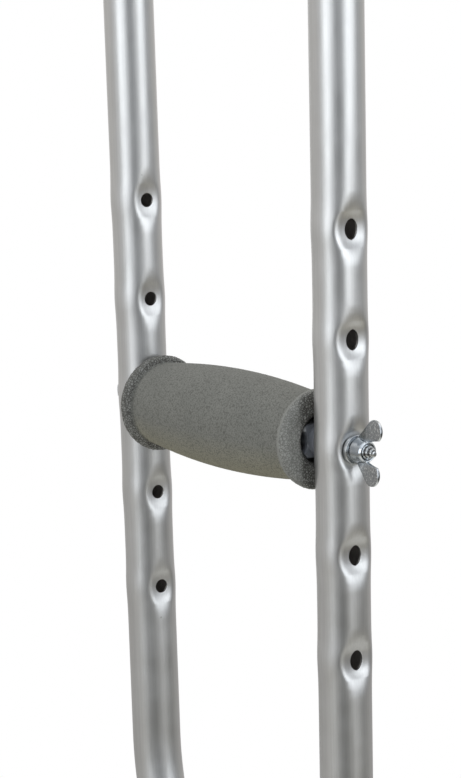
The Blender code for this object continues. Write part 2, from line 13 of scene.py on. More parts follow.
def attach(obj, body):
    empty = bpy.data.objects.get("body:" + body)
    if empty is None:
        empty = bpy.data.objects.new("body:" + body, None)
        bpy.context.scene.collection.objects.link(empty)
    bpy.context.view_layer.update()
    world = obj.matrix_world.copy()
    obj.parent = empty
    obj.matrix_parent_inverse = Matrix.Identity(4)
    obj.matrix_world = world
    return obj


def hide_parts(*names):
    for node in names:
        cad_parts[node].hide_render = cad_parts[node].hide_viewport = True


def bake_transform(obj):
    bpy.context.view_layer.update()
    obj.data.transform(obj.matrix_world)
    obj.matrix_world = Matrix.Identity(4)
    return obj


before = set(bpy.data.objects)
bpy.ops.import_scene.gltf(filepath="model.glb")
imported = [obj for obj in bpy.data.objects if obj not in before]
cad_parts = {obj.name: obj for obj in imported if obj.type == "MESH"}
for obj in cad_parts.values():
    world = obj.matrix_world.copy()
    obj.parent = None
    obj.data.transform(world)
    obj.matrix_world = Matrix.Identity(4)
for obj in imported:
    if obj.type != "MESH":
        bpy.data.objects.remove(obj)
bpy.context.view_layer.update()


# Uprights
# Two lengths of drawn aluminium tube, bent so that they lie beside the leg and open out round the
# grip. A round-nosed punch presses the wall in round each hole, and the tube is then satin anodised.

MM = 0.001
SIDES = (("front", 1), ("rear", -1))
TUBE_R = 11.1
TUBE_WALL = 1.2
LEG_R = 12.7
GAP = 0.3
GRIP_Z = 820.0
GRIP_SPACING = 148.0
SPLAY = 0.0078
UPRIGHT_FOOT_Z = 330.0
UPRIGHT_TOP_Z = 1242.0
BEND_BELOW_GRIP = 162.0
BEND_R = 125.0
BEND = math.radians(15.0)
HOLE_PITCH = 44.45
GRIP_HOLES_Z = [GRIP_Z + i * HOLE_PITCH for i in range(-2, 3)]
LEG_BOLT_Z = (350.0, 425.0)
RIVET_Z = 1208.0
OUTER_HOLE = (3.05, 4.15)
INNER_HOLE = (2.98, 3.08)
BOLT_HOLE = (3.4, 3.4)
RIVET_HOLE = (2.7, 2.7)
OUTER_SEAT = (6.0, 8.55)
INNER_SEAT = (7.2, 9.9)
OUTER_FLOOR = 7.6
INNER_FLOOR = 8.6
OUTER_SLOPE = 0.85
INNER_SLOPE = 0.5
OUTER_EDGE = 2.0
INNER_EDGE = 1.0
FLOOR_EDGE = 1.4
DISH_FLAT = 8.0
DISH_ACROSS = 0.76
DISH_BULGE = 0.5
BULGE_RUN = 8.0
OUTER_TROUGH = 0.48
INNER_TROUGH = 0.25
TROUGH_TURN = 0.4
TROUGH_RUN = 30.0
LIP_DEPTH = 0.03
LIP_REACH = 0.7
EDGE_BREAK = 0.3
UPRIGHT_CELLS = 30
UPRIGHT_STEP = 4.0
HOLE_SHARE = 1 / 3
HOLE_CROWDING = 1.4
HALF_BLOCK = math.sin(math.pi / 4)
OUTER, LEFT, INNER, RIGHT = range(4)

LEG_CENTRE_X = LEG_R + GAP + TUBE_R
TOP_LEAN = math.atan(SPLAY)
HIGH_TOP_Z = GRIP_Z - BEND_BELOW_GRIP
HIGH_CENTRE_X = GRIP_SPACING / 2 - BEND_BELOW_GRIP * SPLAY - BEND_R * math.cos(TOP_LEAN)
HIGH_CENTRE_Z = HIGH_TOP_Z + BEND_R * math.sin(TOP_LEAN)
HIGH_X = HIGH_CENTRE_X + BEND_R * math.cos(BEND)
HIGH_Z = HIGH_CENTRE_Z - BEND_R * math.sin(BEND)
LOW_X = LEG_CENTRE_X + BEND_R * (1 - math.cos(BEND))
LOW_Z = HIGH_Z - (HIGH_X - LOW_X) / math.tan(BEND)
LOW_FOOT_Z = LOW_Z - BEND_R * math.sin(BEND)


def upper_run(z):
    """Distance of an upright's straight upper run from the middle plane."""
    return GRIP_SPACING / 2 + (z - GRIP_Z) * SPLAY


def centreline(z):
    """An upright's distance from the middle plane, and its lean, at each height."""
    low = np.arcsin(np.clip((z - LOW_FOOT_Z) / BEND_R, 0.0, math.sin(BEND)))
    high = np.arcsin(np.clip((HIGH_CENTRE_Z - z) / BEND_R, math.sin(TOP_LEAN), math.sin(BEND)))
    lean = np.where(z < LOW_Z, low, high)
    runs = [LEG_CENTRE_X + BEND_R * (1 - np.cos(low)), LOW_X + (z - LOW_Z) * math.tan(BEND),
            HIGH_CENTRE_X + BEND_R * np.cos(high)]
    return np.select([z < LOW_Z, z < HIGH_Z, z < HIGH_TOP_Z], runs, upper_run(z)), lean


def smooth_min(a, b, reach):
    """The lower of two heights, with the corner between them rounded off."""
    near = np.maximum(reach - np.abs(a - b), 0.0)
    return np.minimum(a, b) - near ** 2 / (4 * reach)


def hole_block(radius, hole, cells):
    """Across and up of each point in a quarter of a tube's skin. Its rings of points run from an
    oval hole in the middle out to the square edge."""
    steps = np.linspace(-1.0, 1.0, cells + 1)
    p, q = np.meshgrid(steps, steps)
    away = np.maximum(np.maximum(np.abs(p), np.abs(q)), 1e-9)
    u = p / away * math.pi / 4
    v = q / away * math.pi / 4
    beside = np.abs(p) > np.abs(q)
    round_across = np.where(beside, np.sign(p) * np.cos(v), np.sin(u))
    round_up = np.where(beside, np.sin(v), np.sign(q) * np.cos(u))
    share = np.clip((away - HOLE_SHARE) / (1 - HOLE_SHARE), 0.0, 1.0) ** HOLE_CROWDING
    across = (1 - share) * hole[0] * round_across + share * radius * np.sin(u)
    up = (1 - share) * hole[1] * round_up + share * radius * HALF_BLOCK * q / away
    return across, up


def holes_at(heights, quarters, hole):
    """Holes of one half width and half height, at some heights in some quarters of a tube."""
    return [(z, quarter, hole) for z in heights for quarter in quarters]


def drilled_skin(low, high, radius, holes, cells, step):
    """Turn and height of each point of a tube's skin, and its faces. The points are drawn in round
    each hole, which is left open."""
    half = radius * HALF_BLOCK
    rows = [low]
    starts = {}

    def run_to(end, count=None):
        """Adds rows up to a height, in a given number or about a step apart."""
        count = count or max(1, math.ceil((end - rows[-1]) / step))
        rows.extend(np.linspace(rows[-1], end, count + 1)[1:])

    for height in sorted({hole[0] for hole in holes}):
        run_to(height - half)
        starts[height] = len(rows) - 1
        run_to(height + half, cells)
    run_to(high)
    columns = 4 * cells
    turn = np.tile(math.tau * np.arange(columns) / columns - math.pi / 4, (len(rows), 1))
    rise = np.repeat(np.array(rows)[:, None], columns, axis=1)
    whole = np.ones((len(rows) - 1, columns), bool)
    rim = round(cells * HOLE_SHARE)
    middle = np.arange(rim, cells - rim)
    for height, quarter, hole in holes:
        first = starts[height]
        round_it = (quarter * cells + np.arange(cells + 1)) % columns
        block = np.ix_(range(first, first + cells + 1), round_it)
        across, up = hole_block(radius, hole, cells)
        turn[block] = quarter * math.pi / 2 + np.arcsin(across / radius)
        rise[block] = height + up
        whole[np.ix_(first + middle, (quarter * cells + middle) % columns)] = False
    i, j = np.nonzero(whole)
    beside = (j + 1) % columns
    below = i * columns
    above = below + columns
    faces = np.stack([below + j, below + beside, above + beside, above + j], 1)
    used, places = np.unique(faces, return_inverse=True)
    return turn.ravel()[used], rise.ravel()[used], places.reshape(faces.shape)


def node(kind, inputs, tree=None, out=None, **settings):
    """Adds a shader node with its settings, in the tree that its inputs come from. Inputs go by name
    or in order. It gives its first output, or the one that is named."""
    named = list(inputs) if isinstance(inputs, dict) else []
    values = [inputs[name] for name in named] or inputs
    tree = tree or next(value.id_data for value in values if isinstance(value, bpy.types.NodeSocket))
    made = tree.nodes.new("ShaderNode" + kind)
    for name, value in settings.items():
        setattr(made, name, value)
    sockets = [made.inputs[name] for name in named] or [s for s in made.inputs if s.enabled]
    for socket, value in zip(sockets, values):
        if isinstance(value, bpy.types.NodeSocket):
            tree.links.new(value, socket)
        else:
            socket.default_value = value
    return made.outputs[out] if out else next((s for s in made.outputs if s.enabled), None)


def finish_of(slot, label="finish"):
    """A new material, and the point in the piece's own frame."""
    made = bpy.data.materials.new(slot + "_" + label)
    made["slot"] = slot
    made.use_nodes = True
    return made, node("TexCoord", (), made.node_tree, "Object")


def ramp(value, low, high, start=0.0, end=1.0):
    """A value or colour that runs from low to high while the input runs from start to end."""
    if isinstance(low, tuple):
        return node("MapRange", (value, (start,) * 3, (end,) * 3, low, high), data_type="FLOAT_VECTOR")
    return node("MapRange", (value, start, end, low, high))


def spread(cloud, low, high):
    """A value or colour that runs from low to high over the middle of a noise's range."""
    return ramp(cloud, low, high, 0.3, 0.7)


def patchy(at, scale, detail, roughness=0.5, out="Fac"):
    """A noise over the surface, with about as many patches to a metre as its scale."""
    return node("TexNoise", {"Vector": at, "Scale": scale, "Detail": detail, "Roughness": roughness}, out=out)


def sums(operation, *values):
    """One step of arithmetic."""
    return node("Math", values, operation=operation)


def vectors(operation, *values):
    """One step of arithmetic with points, directions or colours."""
    return node("VectorMath", values, operation=operation)


def part_of(vector, axis):
    """The part of a point or a direction along one axis."""
    return node("SeparateXYZ", (vector,), out=axis)


def mixed(share, first, second):
    """A colour between two others."""
    return node("Mix", (share, first, second), data_type="RGBA")


def relief(height, strength, depth, over=None):
    """Fine relief in the shading, over a coarser one if that is given."""
    inputs = {"Height": height, "Strength": strength, "Distance": depth}
    if over is not None:
        inputs["Normal"] = over
    return node("Bump", inputs)


def finished(made, colour, roughness, normal=None, metal=0.0, gloss=0.5):
    """The material, with its colour, roughness and relief joined to its shader and its levels set."""
    shader = made.node_tree.nodes["Principled BSDF"]
    for name, value in (("Base Color", colour), ("Roughness", roughness), ("Normal", normal)):
        if value is not None:
            made.node_tree.links.new(value, shader.inputs[name])
    shader.inputs["Metallic"].default_value = metal
    shader.inputs["Specular IOR Level"].default_value = gloss
    return made


def anodised_aluminium():
    """Satin anodised aluminium: die lines along the tube, cloudy etching and a few dull specks. Below
    the grip its colour is painted a little darker: painted shade for the light falling off lower down."""
    made, at = finish_of("anodised_aluminium")
    lines = patchy(node("Mapping", {"Vector": at, "Scale": (1.0, 1.0, 0.012)}), 1500.0, 3.0)
    clouds = patchy(at, 70.0, 4.0)
    speck = ramp(node("TexVoronoi", {"Vector": at, "Scale": 26.0}), 1.0, 0.0, 0.014, 0.026)
    # Painted shade: the colour darkens below the grip, where less light falls.
    shade_below = ramp(part_of(at, "Z"), 0.93, 1.0, 0.74, 0.84)
    bare = spread(clouds, (0.70, 0.70, 0.69), (0.735, 0.735, 0.73))
    bare = vectors("SCALE", bare, sums("MULTIPLY", shade_below, spread(lines, 0.955, 1.05)))
    etched = relief(patchy(at, 5200.0, 2.0), 0.22, 0.00002)
    return finished(made, mixed(speck, bare, (0.2, 0.19, 0.17, 1)), spread(clouds, 0.34, 0.41),
                    relief(lines, 0.12, 0.00004, etched), metal=1.0)


def raw_bore():
    """The bore of the drawn tube, which no polishing reaches: dull, rough and a little oily."""
    made, at = finish_of("anodised_aluminium", "bore")
    stain = patchy(at, 130.0, 5.0)
    return finished(made, spread(stain, (0.40, 0.38, 0.36), (0.55, 0.52, 0.49)), spread(stain, 0.55, 0.8))


aluminium = anodised_aluminium()
bore = raw_bore()


def in_scene(name, data):
    """An object for a mesh, a lamp or a camera, in the scene."""
    made = bpy.data.objects.new(name, data)
    bpy.context.scene.collection.objects.link(made)
    return made


def stored(name, mesh, finish, body, nodes):
    """Makes a piece of a mesh in millimetres. It rides on a body and stands for its nodes."""
    mesh.transform(Matrix.Scale(MM, 4))
    mesh.shade_smooth()
    mesh.materials.append(finish)
    piece = in_scene(name, mesh)
    if body:
        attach(piece, body)
    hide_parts(*nodes)
    return piece


def rounded_edges(piece, name, width, segments, sharper):
    """Rounds off the edges of a piece that are sharper than an angle."""
    edge = piece.modifiers.new(name, "BEVEL")
    edge.width = width * MM
    edge.segments = segments
    edge.limit_method = "ANGLE"
    edge.angle_limit = math.radians(sharper)


def drilled_tube(name, points, faces, wall, body):
    """A tube of a drilled skin: the wall grows inwards, and its edges are broken with a small bevel."""
    mesh = bpy.data.meshes.new(name + "_skin")
    mesh.from_pydata(points.tolist(), [], faces.tolist())
    piece = stored(name + "_skin", mesh, aluminium, body, [name])
    mesh.materials.append(bore)
    thick = piece.modifiers.new("wall", "SOLIDIFY")
    thick.thickness = wall * MM
    thick.offset = -1.0
    thick.use_quality_normals = True
    thick.material_offset = 1
    rounded_edges(piece, "broken_edges", EDGE_BREAK, 2, 50)


def upright_points(side, turn, rise):
    """Places an upright's skin: the wall flattens along the row of holes, the punched dishes go into
    it, and the ring goes onto the bent centreline."""
    punched = sum(np.exp(-((rise - z) / TROUGH_RUN) ** 2) for z in (*GRIP_HOLES_Z, *LEG_BOLT_Z))
    trough = OUTER_TROUGH * np.exp((np.cos(turn) - 1) / TROUGH_TURN ** 2)
    trough += INNER_TROUGH * np.exp((-np.cos(turn) - 1) / TROUGH_TURN ** 2)
    radius = TUBE_R - trough * punched
    out = radius * np.cos(turn)
    across = radius * np.sin(turn)
    swell = np.zeros_like(out)
    outside = (1, OUTER_SEAT, OUTER_FLOOR, OUTER_SLOPE, OUTER_EDGE)
    inside = (-1, INNER_SEAT, INNER_FLOOR, INNER_SLOPE, INNER_EDGE)
    presses = [(z, OUTER_HOLE, *outside) for z in GRIP_HOLES_Z]
    presses += [(z, INNER_HOLE, *inside) for z in GRIP_HOLES_Z]
    presses += [(z, BOLT_HOLE, *outside) for z in LEG_BOLT_Z]
    for z, hole, facing, (seat_r, seat), floor, slope, edge in presses:
        away = np.sqrt((DISH_ACROSS * across) ** 2 + (rise - z) ** 2 + DISH_FLAT ** 2)
        dish = seat + slope * (away - math.hypot(seat_r, DISH_FLAT))
        dish = -smooth_min(-dish, -floor, FLOOR_EDGE)
        past = (np.hypot(across / hole[0], (rise - z) / hole[1]) - 1) * sum(hole) / 2
        dish -= LIP_DEPTH * np.clip(1 - past / LIP_REACH, 0.0, 1.0) ** 2
        out = np.where(facing * out > 0, facing * smooth_min(facing * out, dish, edge), out)
        swell += (facing > 0) * np.exp(-((rise - z) / BULGE_RUN) ** 2)
    across = across * (1 + DISH_BULGE / TUBE_R * swell)
    reach, lean = centreline(rise)
    return np.stack([side * (reach + out * np.cos(lean)), side * across, rise - out * np.sin(lean)], 1)


holes = holes_at(GRIP_HOLES_Z, [OUTER], OUTER_HOLE) + holes_at(GRIP_HOLES_Z, [INNER], INNER_HOLE)
holes += holes_at(LEG_BOLT_Z, [OUTER, INNER], BOLT_HOLE) + holes_at([RIVET_Z], [LEFT, RIGHT], RIVET_HOLE)
turn, rise, faces = drilled_skin(UPRIGHT_FOOT_Z, UPRIGHT_TOP_Z, TUBE_R, holes, UPRIGHT_CELLS, UPRIGHT_STEP)
for label, side in SIDES:
    drilled_tube(label + "_upright", upright_points(side, turn, rise), faces, TUBE_WALL, "frame")


# Foot plugs
# Moulded plastic plugs close the cut ends of the uprights beside the leg. Each has a stem that is a
# push fit in the bore, and a low dome that covers the wall.

PLUG_STEM = 6.0
PLUG_DOME = 4.0
PLUG_DOME_SHAPE = ((1, 0.4), (0.8, 0.8), (0.45, 1), (0, 1))
PLUG_EASE = 0.9
CORNER_SHARE = 0.45
MERGE = 1e-4


def polar(radius, turn, height):
    """A point at a distance from the Z axis, a turn round it and a height."""
    return (radius * math.cos(turn), radius * math.sin(turn), height)


def turns(steps):
    """The turn of each point of a circle."""
    return [math.tau * i / steps for i in range(steps)]


def round_rings(profile, steps):
    """A circle of points at each (radius, height) of a profile."""
    return [[polar(r, a, z) for a in turns(steps)] for r, z in profile]


def arc(x, y, radius, start, end, steps):
    """Points along part of a circle, between two angles in degrees."""
    angles = [math.radians(start + (end - start) * i / steps) for i in range(steps + 1)]
    return [(x + radius * math.cos(a), y + radius * math.sin(a)) for a in angles]


def eased(outline, radius, loop=False, steps=4):
    """An outline with its corners rounded off, all alike or each by a radius of its own."""
    points = [Vector(point) for point in outline]
    count = len(points)
    radii = radius if isinstance(radius, list) else [radius] * count
    ends = 0 if loop else 1
    made = points[:ends]
    for i in range(ends, count - ends):
        corner = points[i]
        back = points[i - 1] - corner
        on = points[(i + 1) % count] - corner
        cut = min(radii[i], CORNER_SHARE * back.length, CORNER_SHARE * on.length)
        start = corner + back.normalized() * cut
        end = corner + on.normalized() * cut
        for k in range(steps + 1):
            t = k / steps
            made.append(start.lerp(corner, t).lerp(corner.lerp(end, t), t))
    return made + points[count - ends:]


def shell(rings, loop=False):
    """A skin through rings of points. It ends in a flat face across the first and the last ring, or
    runs on from the last ring to the first."""
    part = bmesh.new()
    loops = [[part.verts.new(point) for point in ring] for ring in rings]
    pairs = list(zip(loops, loops[1:]))
    if loop:
        pairs.append((loops[-1], loops[0]))
    else:
        part.faces.new(loops[0][::-1])
        part.faces.new(loops[-1])
    count = len(rings[0])
    for below, above in pairs:
        for i in range(count):
            j = (i + 1) % count
            part.faces.new((below[i], below[j], above[j], above[i]))
    bmesh.ops.remove_doubles(part, verts=part.verts, dist=MERGE)
    bmesh.ops.recalc_face_normals(part, faces=part.faces)
    return part


def turned(profile, steps=64, loop=False):
    """A profile of (radius, height) points spun round Z."""
    return shell(round_rings(profile, steps), loop)


def shift(x, z):
    """A move from the origin to a point of the crutch's middle plane."""
    return Matrix.Translation((x, 0, z))


def mesh_of(name, part):
    """A shape, stored as a mesh."""
    mesh = bpy.data.meshes.new(name)
    part.to_mesh(mesh)
    part.free()
    return mesh


def placed(name, part, finish, body, *nodes, at=None, sharp=40):
    """Stores a shape as a piece, after moving it into place. Edges past the sharp angle stay crisp."""
    if at is not None:
        part.transform(at)
    mesh = mesh_of(name, part)
    piece = stored(name, mesh, finish, body, nodes)
    if sharp:
        mesh.set_sharp_from_angle(angle=math.radians(sharp))
        piece.modifiers.new("flat_faces", "WEIGHTED_NORMAL").keep_sharp = True
    return piece


def dark_plastic():
    """Injection-moulded plastic, dark blue-grey, with a fine spark texture and a worn sheen."""
    made, at = finish_of("dark_plastic")
    patches = patchy(at, 160.0, 4.0)
    return finished(made, spread(patches, (0.085, 0.090, 0.102), (0.112, 0.119, 0.134)),
                    spread(patches, 0.36, 0.5), relief(patchy(at, 2600.0, 2.0), 0.25, 0.00005))


def plug(radius, wall):
    """A plug that stands in the end of a tube, with the tube's end at the height zero."""
    stem_r = radius - wall - 2 * GAP
    outline = [(0, -PLUG_STEM), (stem_r, -PLUG_STEM), (stem_r, GAP), (radius, GAP)]
    outline += [(out * radius, up * PLUG_DOME) for out, up in PLUG_DOME_SHAPE]
    return turned(eased(outline, PLUG_EASE))


plastic = dark_plastic()
for label, side in SIDES:
    foot_at = shift(side * LEG_CENTRE_X, UPRIGHT_FOOT_Z) @ Matrix.Rotation(math.pi, 4, "X")
    name = label + "_foot_plug"
    placed(name + "_cap", plug(TUBE_R, TUBE_WALL), plastic, "frame", name, at=foot_at)


# Leg tube
# A drawn tube one size larger stands between the uprights' feet. Seven pairs of holes in its sides
# take the snap buttons, and two pairs front and back take the clamp bolts.

LEG_WALL = 1.3
LEG_FOOT_Z = 132.0
LEG_TOP_Z = 446.0
LEG_HOLE_PITCH = 25.4
LEG_HOLES_Z = [154.0 + i * LEG_HOLE_PITCH for i in range(7)]
LEG_HOLE = (4.4, 4.4)
LEG_CELLS = 24
LEG_STEP = 8.0


def straight_tube(name, low, high, radius, wall, holes, body):
    """A round tube that stands on the leg's axis."""
    turn, rise, faces = drilled_skin(low, high, radius, holes, LEG_CELLS, LEG_STEP)
    points = np.stack([radius * np.cos(turn), radius * np.sin(turn), rise], 1)
    drilled_tube(name, points, faces, wall, body)


holes = holes_at(LEG_HOLES_Z, [LEFT, RIGHT], LEG_HOLE) + holes_at(LEG_BOLT_Z, [OUTER, INNER], BOLT_HOLE)
straight_tube("leg_tube", LEG_FOOT_Z, LEG_TOP_Z, LEG_R, LEG_WALL, holes, "frame")


# Leg cap and collar
# A plug like the foot plugs closes the top of the leg tube. A moulded bush clips over its foot, and
# the bush's lip steadies the inner tube and hides the cut edge.

COLLAR_PROUD = 2.2
COLLAR_LIP = 3.5
COLLAR_HEIGHT = 14.0
COLLAR_EDGE = 1.2
COLLAR_EASE = 0.45
GROOVE_DOWN = 4.0
GROOVE_DEPTH = 0.5
GROOVE_HALF = 1.0
GROOVE_FLOOR = 0.6


def collar():
    """The bush's section, spun: a lip under the tube's end, a sleeve, and a shallow groove round it."""
    lip_r = TUBE_R + GAP
    seat_r = LEG_R + GAP
    outer = LEG_R + COLLAR_PROUD
    floor_r = outer - GROOVE_DEPTH
    foot = LEG_FOOT_Z - COLLAR_LIP
    top = LEG_FOOT_Z + COLLAR_HEIGHT
    groove = top - GROOVE_DOWN
    outline = [(lip_r, foot), (outer - 0.8, foot), (outer, foot + COLLAR_EDGE), (outer, groove - GROOVE_HALF),
               (floor_r, groove - GROOVE_FLOOR), (floor_r, groove + GROOVE_FLOOR),
               (outer, groove + GROOVE_HALF), (outer, top - COLLAR_EDGE), (outer - 0.9, top), (seat_r, top),
               (seat_r, LEG_FOOT_Z - GAP), (lip_r, LEG_FOOT_Z - GAP)]
    return turned(eased(outline, COLLAR_EASE, loop=True), 96, loop=True)


placed("leg_cap_plug", plug(LEG_R, LEG_WALL), plastic, "frame", "leg_cap", at=shift(0, LEG_TOP_Z))
placed("leg_collar_bush", collar(), plastic, "frame", "leg_collar")


# Leg bolts and cap nuts
# Two M6 bolts go through one upright, the leg tube and the other upright, and clamp the three.
# They are cold headed, with rolled threads, and zinc plated. A domed nut hides the end of each.

HEX_FLATS = 10.0
HEX_CORNER = 0.55 * HEX_FLATS
HEX_CHAMFER_R = 0.47 * HEX_FLATS
HEX_CHAMFER = math.radians(30)
HEX_STEPS = 60
HEAD_HEIGHT = 4.0
HEAD_LAND = 0.3
HEAD_LAND_R = 4.75
HEAD_FILLET = 0.25
BOLT_R = 2.9
THREAD_ROOT_R = 2.3
THREAD_PITCH = 1.75
THREAD_END_R = 1.5
THREAD_TAPER = 0.4
THREAD_FLANK = 3.6
THREAD_FLAT = 0.4
THREAD_ROWS = 10
NUT_BORE_R = 2.95
CAP_BORE_DEPTH = 8.0
CAP_PRISM = 5.0
CAP_DOME_R = 4.75
CAP_NECK = 0.3
SEAT_OUT = 8.6
LEG_BOLT_SPARE = 7.0
LEG_THREAD = 18.0
TO_X = Matrix.Rotation(math.pi / 2, 4, "Y")


def zinc_plate(label="finish", groove_shade=0.0):
    """Bright zinc plate on steel: slightly blue, with a faint yellow cast in places and fine pits.
    A share of painted shade darkens it all over, for the faces deep in the thread's grooves."""
    made, at = finish_of("zinc_plate", label)
    clean = spread(patchy(at, 340.0, 3.0), (0.58, 0.615, 0.65), (0.66, 0.665, 0.65))
    mottle = patchy(at, 1500.0, 4.0, 0.65)
    # Painted shade: the groove share mixes the colour towards near black.
    return finished(made, mixed(groove_shade, clean, (0.03, 0.03, 0.028, 1)), ramp(mottle, 0.15, 0.27, 0.35, 0.65),
                    relief(mottle, 0.2, 0.00005), metal=1.0)


def hex_ring(height, chamfered=False):
    """A hexagon with slightly rounded corners. A chamfer drops its corners away down a cone."""
    ring = []
    for a in turns(HEX_STEPS):
        off = a % (math.pi / 3) - math.pi / 6
        radius = min(HEX_FLATS / 2 / math.cos(off), HEX_CORNER)
        drop = (radius - HEX_CHAMFER_R) * math.tan(HEX_CHAMFER) if chamfered else 0.0
        ring.append(polar(radius, a, height - drop))
    return ring


def upside_down(rings):
    """Rings of points with their heights reversed."""
    return [[(x, y, -z) for x, y, z in ring] for ring in rings]


def crest_at(end, height):
    """Radius of the thread's crest, which is chamfered away towards the bolt's end."""
    return min(BOLT_R, THREAD_END_R + THREAD_TAPER * (end - height))


def thread_rings(start, end):
    """Rings of a rolled thread, which grows out of the shank and is chamfered away at its end."""
    rings = []
    count = math.ceil((end - start) / THREAD_PITCH * THREAD_ROWS)
    for k in range(count + 1):
        height = start + (end - start) * k / count
        fade = min(1.0, (height - start) / THREAD_PITCH)
        ring = []
        for i, a in enumerate(turns(HEX_STEPS)):
            phase = (height / THREAD_PITCH - i / HEX_STEPS) % 1.0
            flank = (0.5 - abs(phase - 0.5)) * THREAD_FLANK - THREAD_FLAT
            depth = (BOLT_R - THREAD_ROOT_R) * (1 - min(1.0, max(0.0, flank))) * fade
            ring.append(polar(crest_at(end, height) - depth, a, height))
        rings.append(ring)
    return rings


def hex_bolt(length, thread):
    """A bolt that stands on its head, with the underside of the head at the height zero."""
    land = [(HEAD_LAND_R, HEAD_LAND - 0.05), (HEAD_LAND_R - 0.05, 0.0), (BOLT_R + HEAD_FILLET, 0.0)]
    rings = round_rings([(HEX_CHAMFER_R, HEAD_HEIGHT)], HEX_STEPS)
    rings += [hex_ring(HEAD_HEIGHT, True), hex_ring(HEAD_LAND)] + round_rings(land, HEX_STEPS)
    rings = upside_down(rings) + round_rings([(BOLT_R, HEAD_LAND), (BOLT_R, length - thread)], HEX_STEPS)
    rings += thread_rings(length - thread, length)[1:]
    return shell(rings + round_rings([(0.9, length + 0.2), (0.4, length + 0.3)], HEX_STEPS))


def cap_nut():
    """A hexagon nut with a dome on top and a blind bore, standing on its face."""
    foot = [(NUT_BORE_R, CAP_BORE_DEPTH), (NUT_BORE_R, 0.4), (NUT_BORE_R + 0.35, 0.0), (HEX_CHAMFER_R, 0.0)]
    rings = round_rings(foot, HEX_STEPS) + upside_down([hex_ring(0.0, True)]) + [hex_ring(CAP_PRISM, True)]
    dome = [(CAP_DOME_R, CAP_PRISM + 0.12)] + arc(0, CAP_PRISM + CAP_NECK, CAP_DOME_R, 0, 88, 11)
    return shell(rings + round_rings(dome, HEX_STEPS))


zinc = zinc_plate()
leg_seat = LEG_CENTRE_X + SEAT_OUT
for label, z in zip(("lower", "upper"), LEG_BOLT_Z):
    bolt = hex_bolt(2 * leg_seat + LEG_BOLT_SPARE, LEG_THREAD)
    name = label + "_leg_bolt"
    placed(name + "_m6", bolt, zinc, "frame", name, at=shift(-leg_seat, z) @ TO_X)
    name = label + "_leg_nut"
    placed(name + "_dome", cap_nut(), zinc, "frame", name, at=shift(leg_seat, z) @ TO_X)


# Extension tube
# The inner leg tube is the same tube as the uprights. It slides in the leg tube to set the height,
# and has one pair of holes for the snap buttons.

EXTENSION_FOOT_Z = 9.5
BUTTON_Z = LEG_HOLES_Z[3]
EXTENSION_TOP_Z = BUTTON_Z + 28.0
BUTTON_HOLE = (4.2, 4.2)

holes = holes_at([BUTTON_Z], [LEFT, RIGHT], BUTTON_HOLE)
straight_tube("extension_tube", EXTENSION_FOOT_Z, EXTENSION_TOP_Z, TUBE_R, TUBE_WALL, holes, "inner_leg")


# Snap buttons and their spring
# Two domed steel buttons stand through both tubes and lock the height. A strip of spring steel bent
# into a U sits in the inner tube and pushes them apart. Each arm of the real spring bends in with its
# button; here the arms ride on no body and stay where they are.

BUTTON_R = 3.9
BUTTON_TIP = LEG_R + 2.9
FLANGE_LOW = 7.0
FLANGE_HIGH = 8.2
FLANGE_R = 5.0
SPRING_ARM = 6.4
SPRING_WIDTH = 7.0
SPRING_THICK = 0.6
SPRING_EDGE = 0.12
SPRING_LOOP_R = 3.6
SPRING_LOOP_DROP = 32.0


def spring_steel():
    """Oiled spring steel: dark grey, with brushed streaks along the strip and faint heat colour."""
    made, at = finish_of("spring_steel")
    streaks = patchy(node("Mapping", {"Vector": at, "Scale": (1.0, 1.0, 0.06)}), 1900.0, 3.0)
    tone = spread(patchy(at, 190.0, 3.0), (0.29, 0.285, 0.28), (0.36, 0.36, 0.375))
    return finished(made, tone, spread(streaks, 0.28, 0.44), relief(streaks, 0.2, 0.00004), metal=1.0)


def snap_button():
    """A button that stands on its flange, with the tube's axis at the height zero."""
    outline = [(0, FLANGE_LOW), (FLANGE_R, FLANGE_LOW), (FLANGE_R, FLANGE_HIGH), (BUTTON_R, FLANGE_HIGH),
               (BUTTON_R, BUTTON_TIP - 1.5), (0.8 * BUTTON_R, BUTTON_TIP - 0.4),
               (0.45 * BUTTON_R, BUTTON_TIP), (0, BUTTON_TIP)]
    return turned(eased(outline, [0, 0.3, 0.3, 0.2, 1.2, 0.9, 0.9, 0]), 48)


def slab(outline, low, high, radius, steps=3):
    """A flat outline in XY with thickness along Z, and the edges of both faces rounded."""
    points = [Vector(point) for point in outline]
    count = len(points)
    inward = []
    for i in range(count):
        along = (points[(i + 1) % count] - points[i - 1]).normalized()
        inward.append(Vector((-along.y, along.x)))
    rings = []
    for side, face in ((-1, low), (1, high)):
        half = []
        for a in (math.pi / 2 * k / steps for k in range(steps + 1)):
            inset = radius * (1 - math.cos(a))
            height = face - side * radius * (1 - math.sin(a))
            half.append([(*(point + off * inset), height) for point, off in zip(points, inward)])
        rings += half[::side]
    return shell(rings)


def moved(part, place):
    """The shape, moved or mirrored into place, with its faces turned outwards again if mirrored."""
    part.transform(place)
    if place.determinant() < 0:
        bmesh.ops.reverse_faces(part, faces=part.faces)
    return part


def spring_arm(side):
    """Half of the U, from the middle of its loop up past the button, as a strip with rounded edges."""
    line = arc(0, -SPRING_LOOP_DROP, SPRING_LOOP_R, 270, 360, 9)
    x, y = line[-1]
    for share in (i / 10 for i in range(1, 11)):
        swing = share * share * (3 - 2 * share)
        line.append((x + (SPRING_ARM - x) * swing, y + (-SPRING_WIDTH - y) * share))
    line = [Vector(point) for point in (*line, (SPRING_ARM, SPRING_WIDTH))]
    outline = []
    for face in (-1, 1):
        edge = []
        for i, point in enumerate(line):
            along = (line[min(i + 1, len(line) - 1)] - line[max(i - 1, 0)]).normalized()
            edge.append(point + Vector((along.y, -along.x)) * (face * SPRING_THICK / 2))
        outline += edge[::face]
    strip = slab(outline, -SPRING_WIDTH / 2, SPRING_WIDTH / 2, SPRING_EDGE)
    return moved(strip, Matrix(((0, 0, 1, 0), (side, 0, 0, 0), (0, 1, 0, BUTTON_Z), (0, 0, 0, 1))))


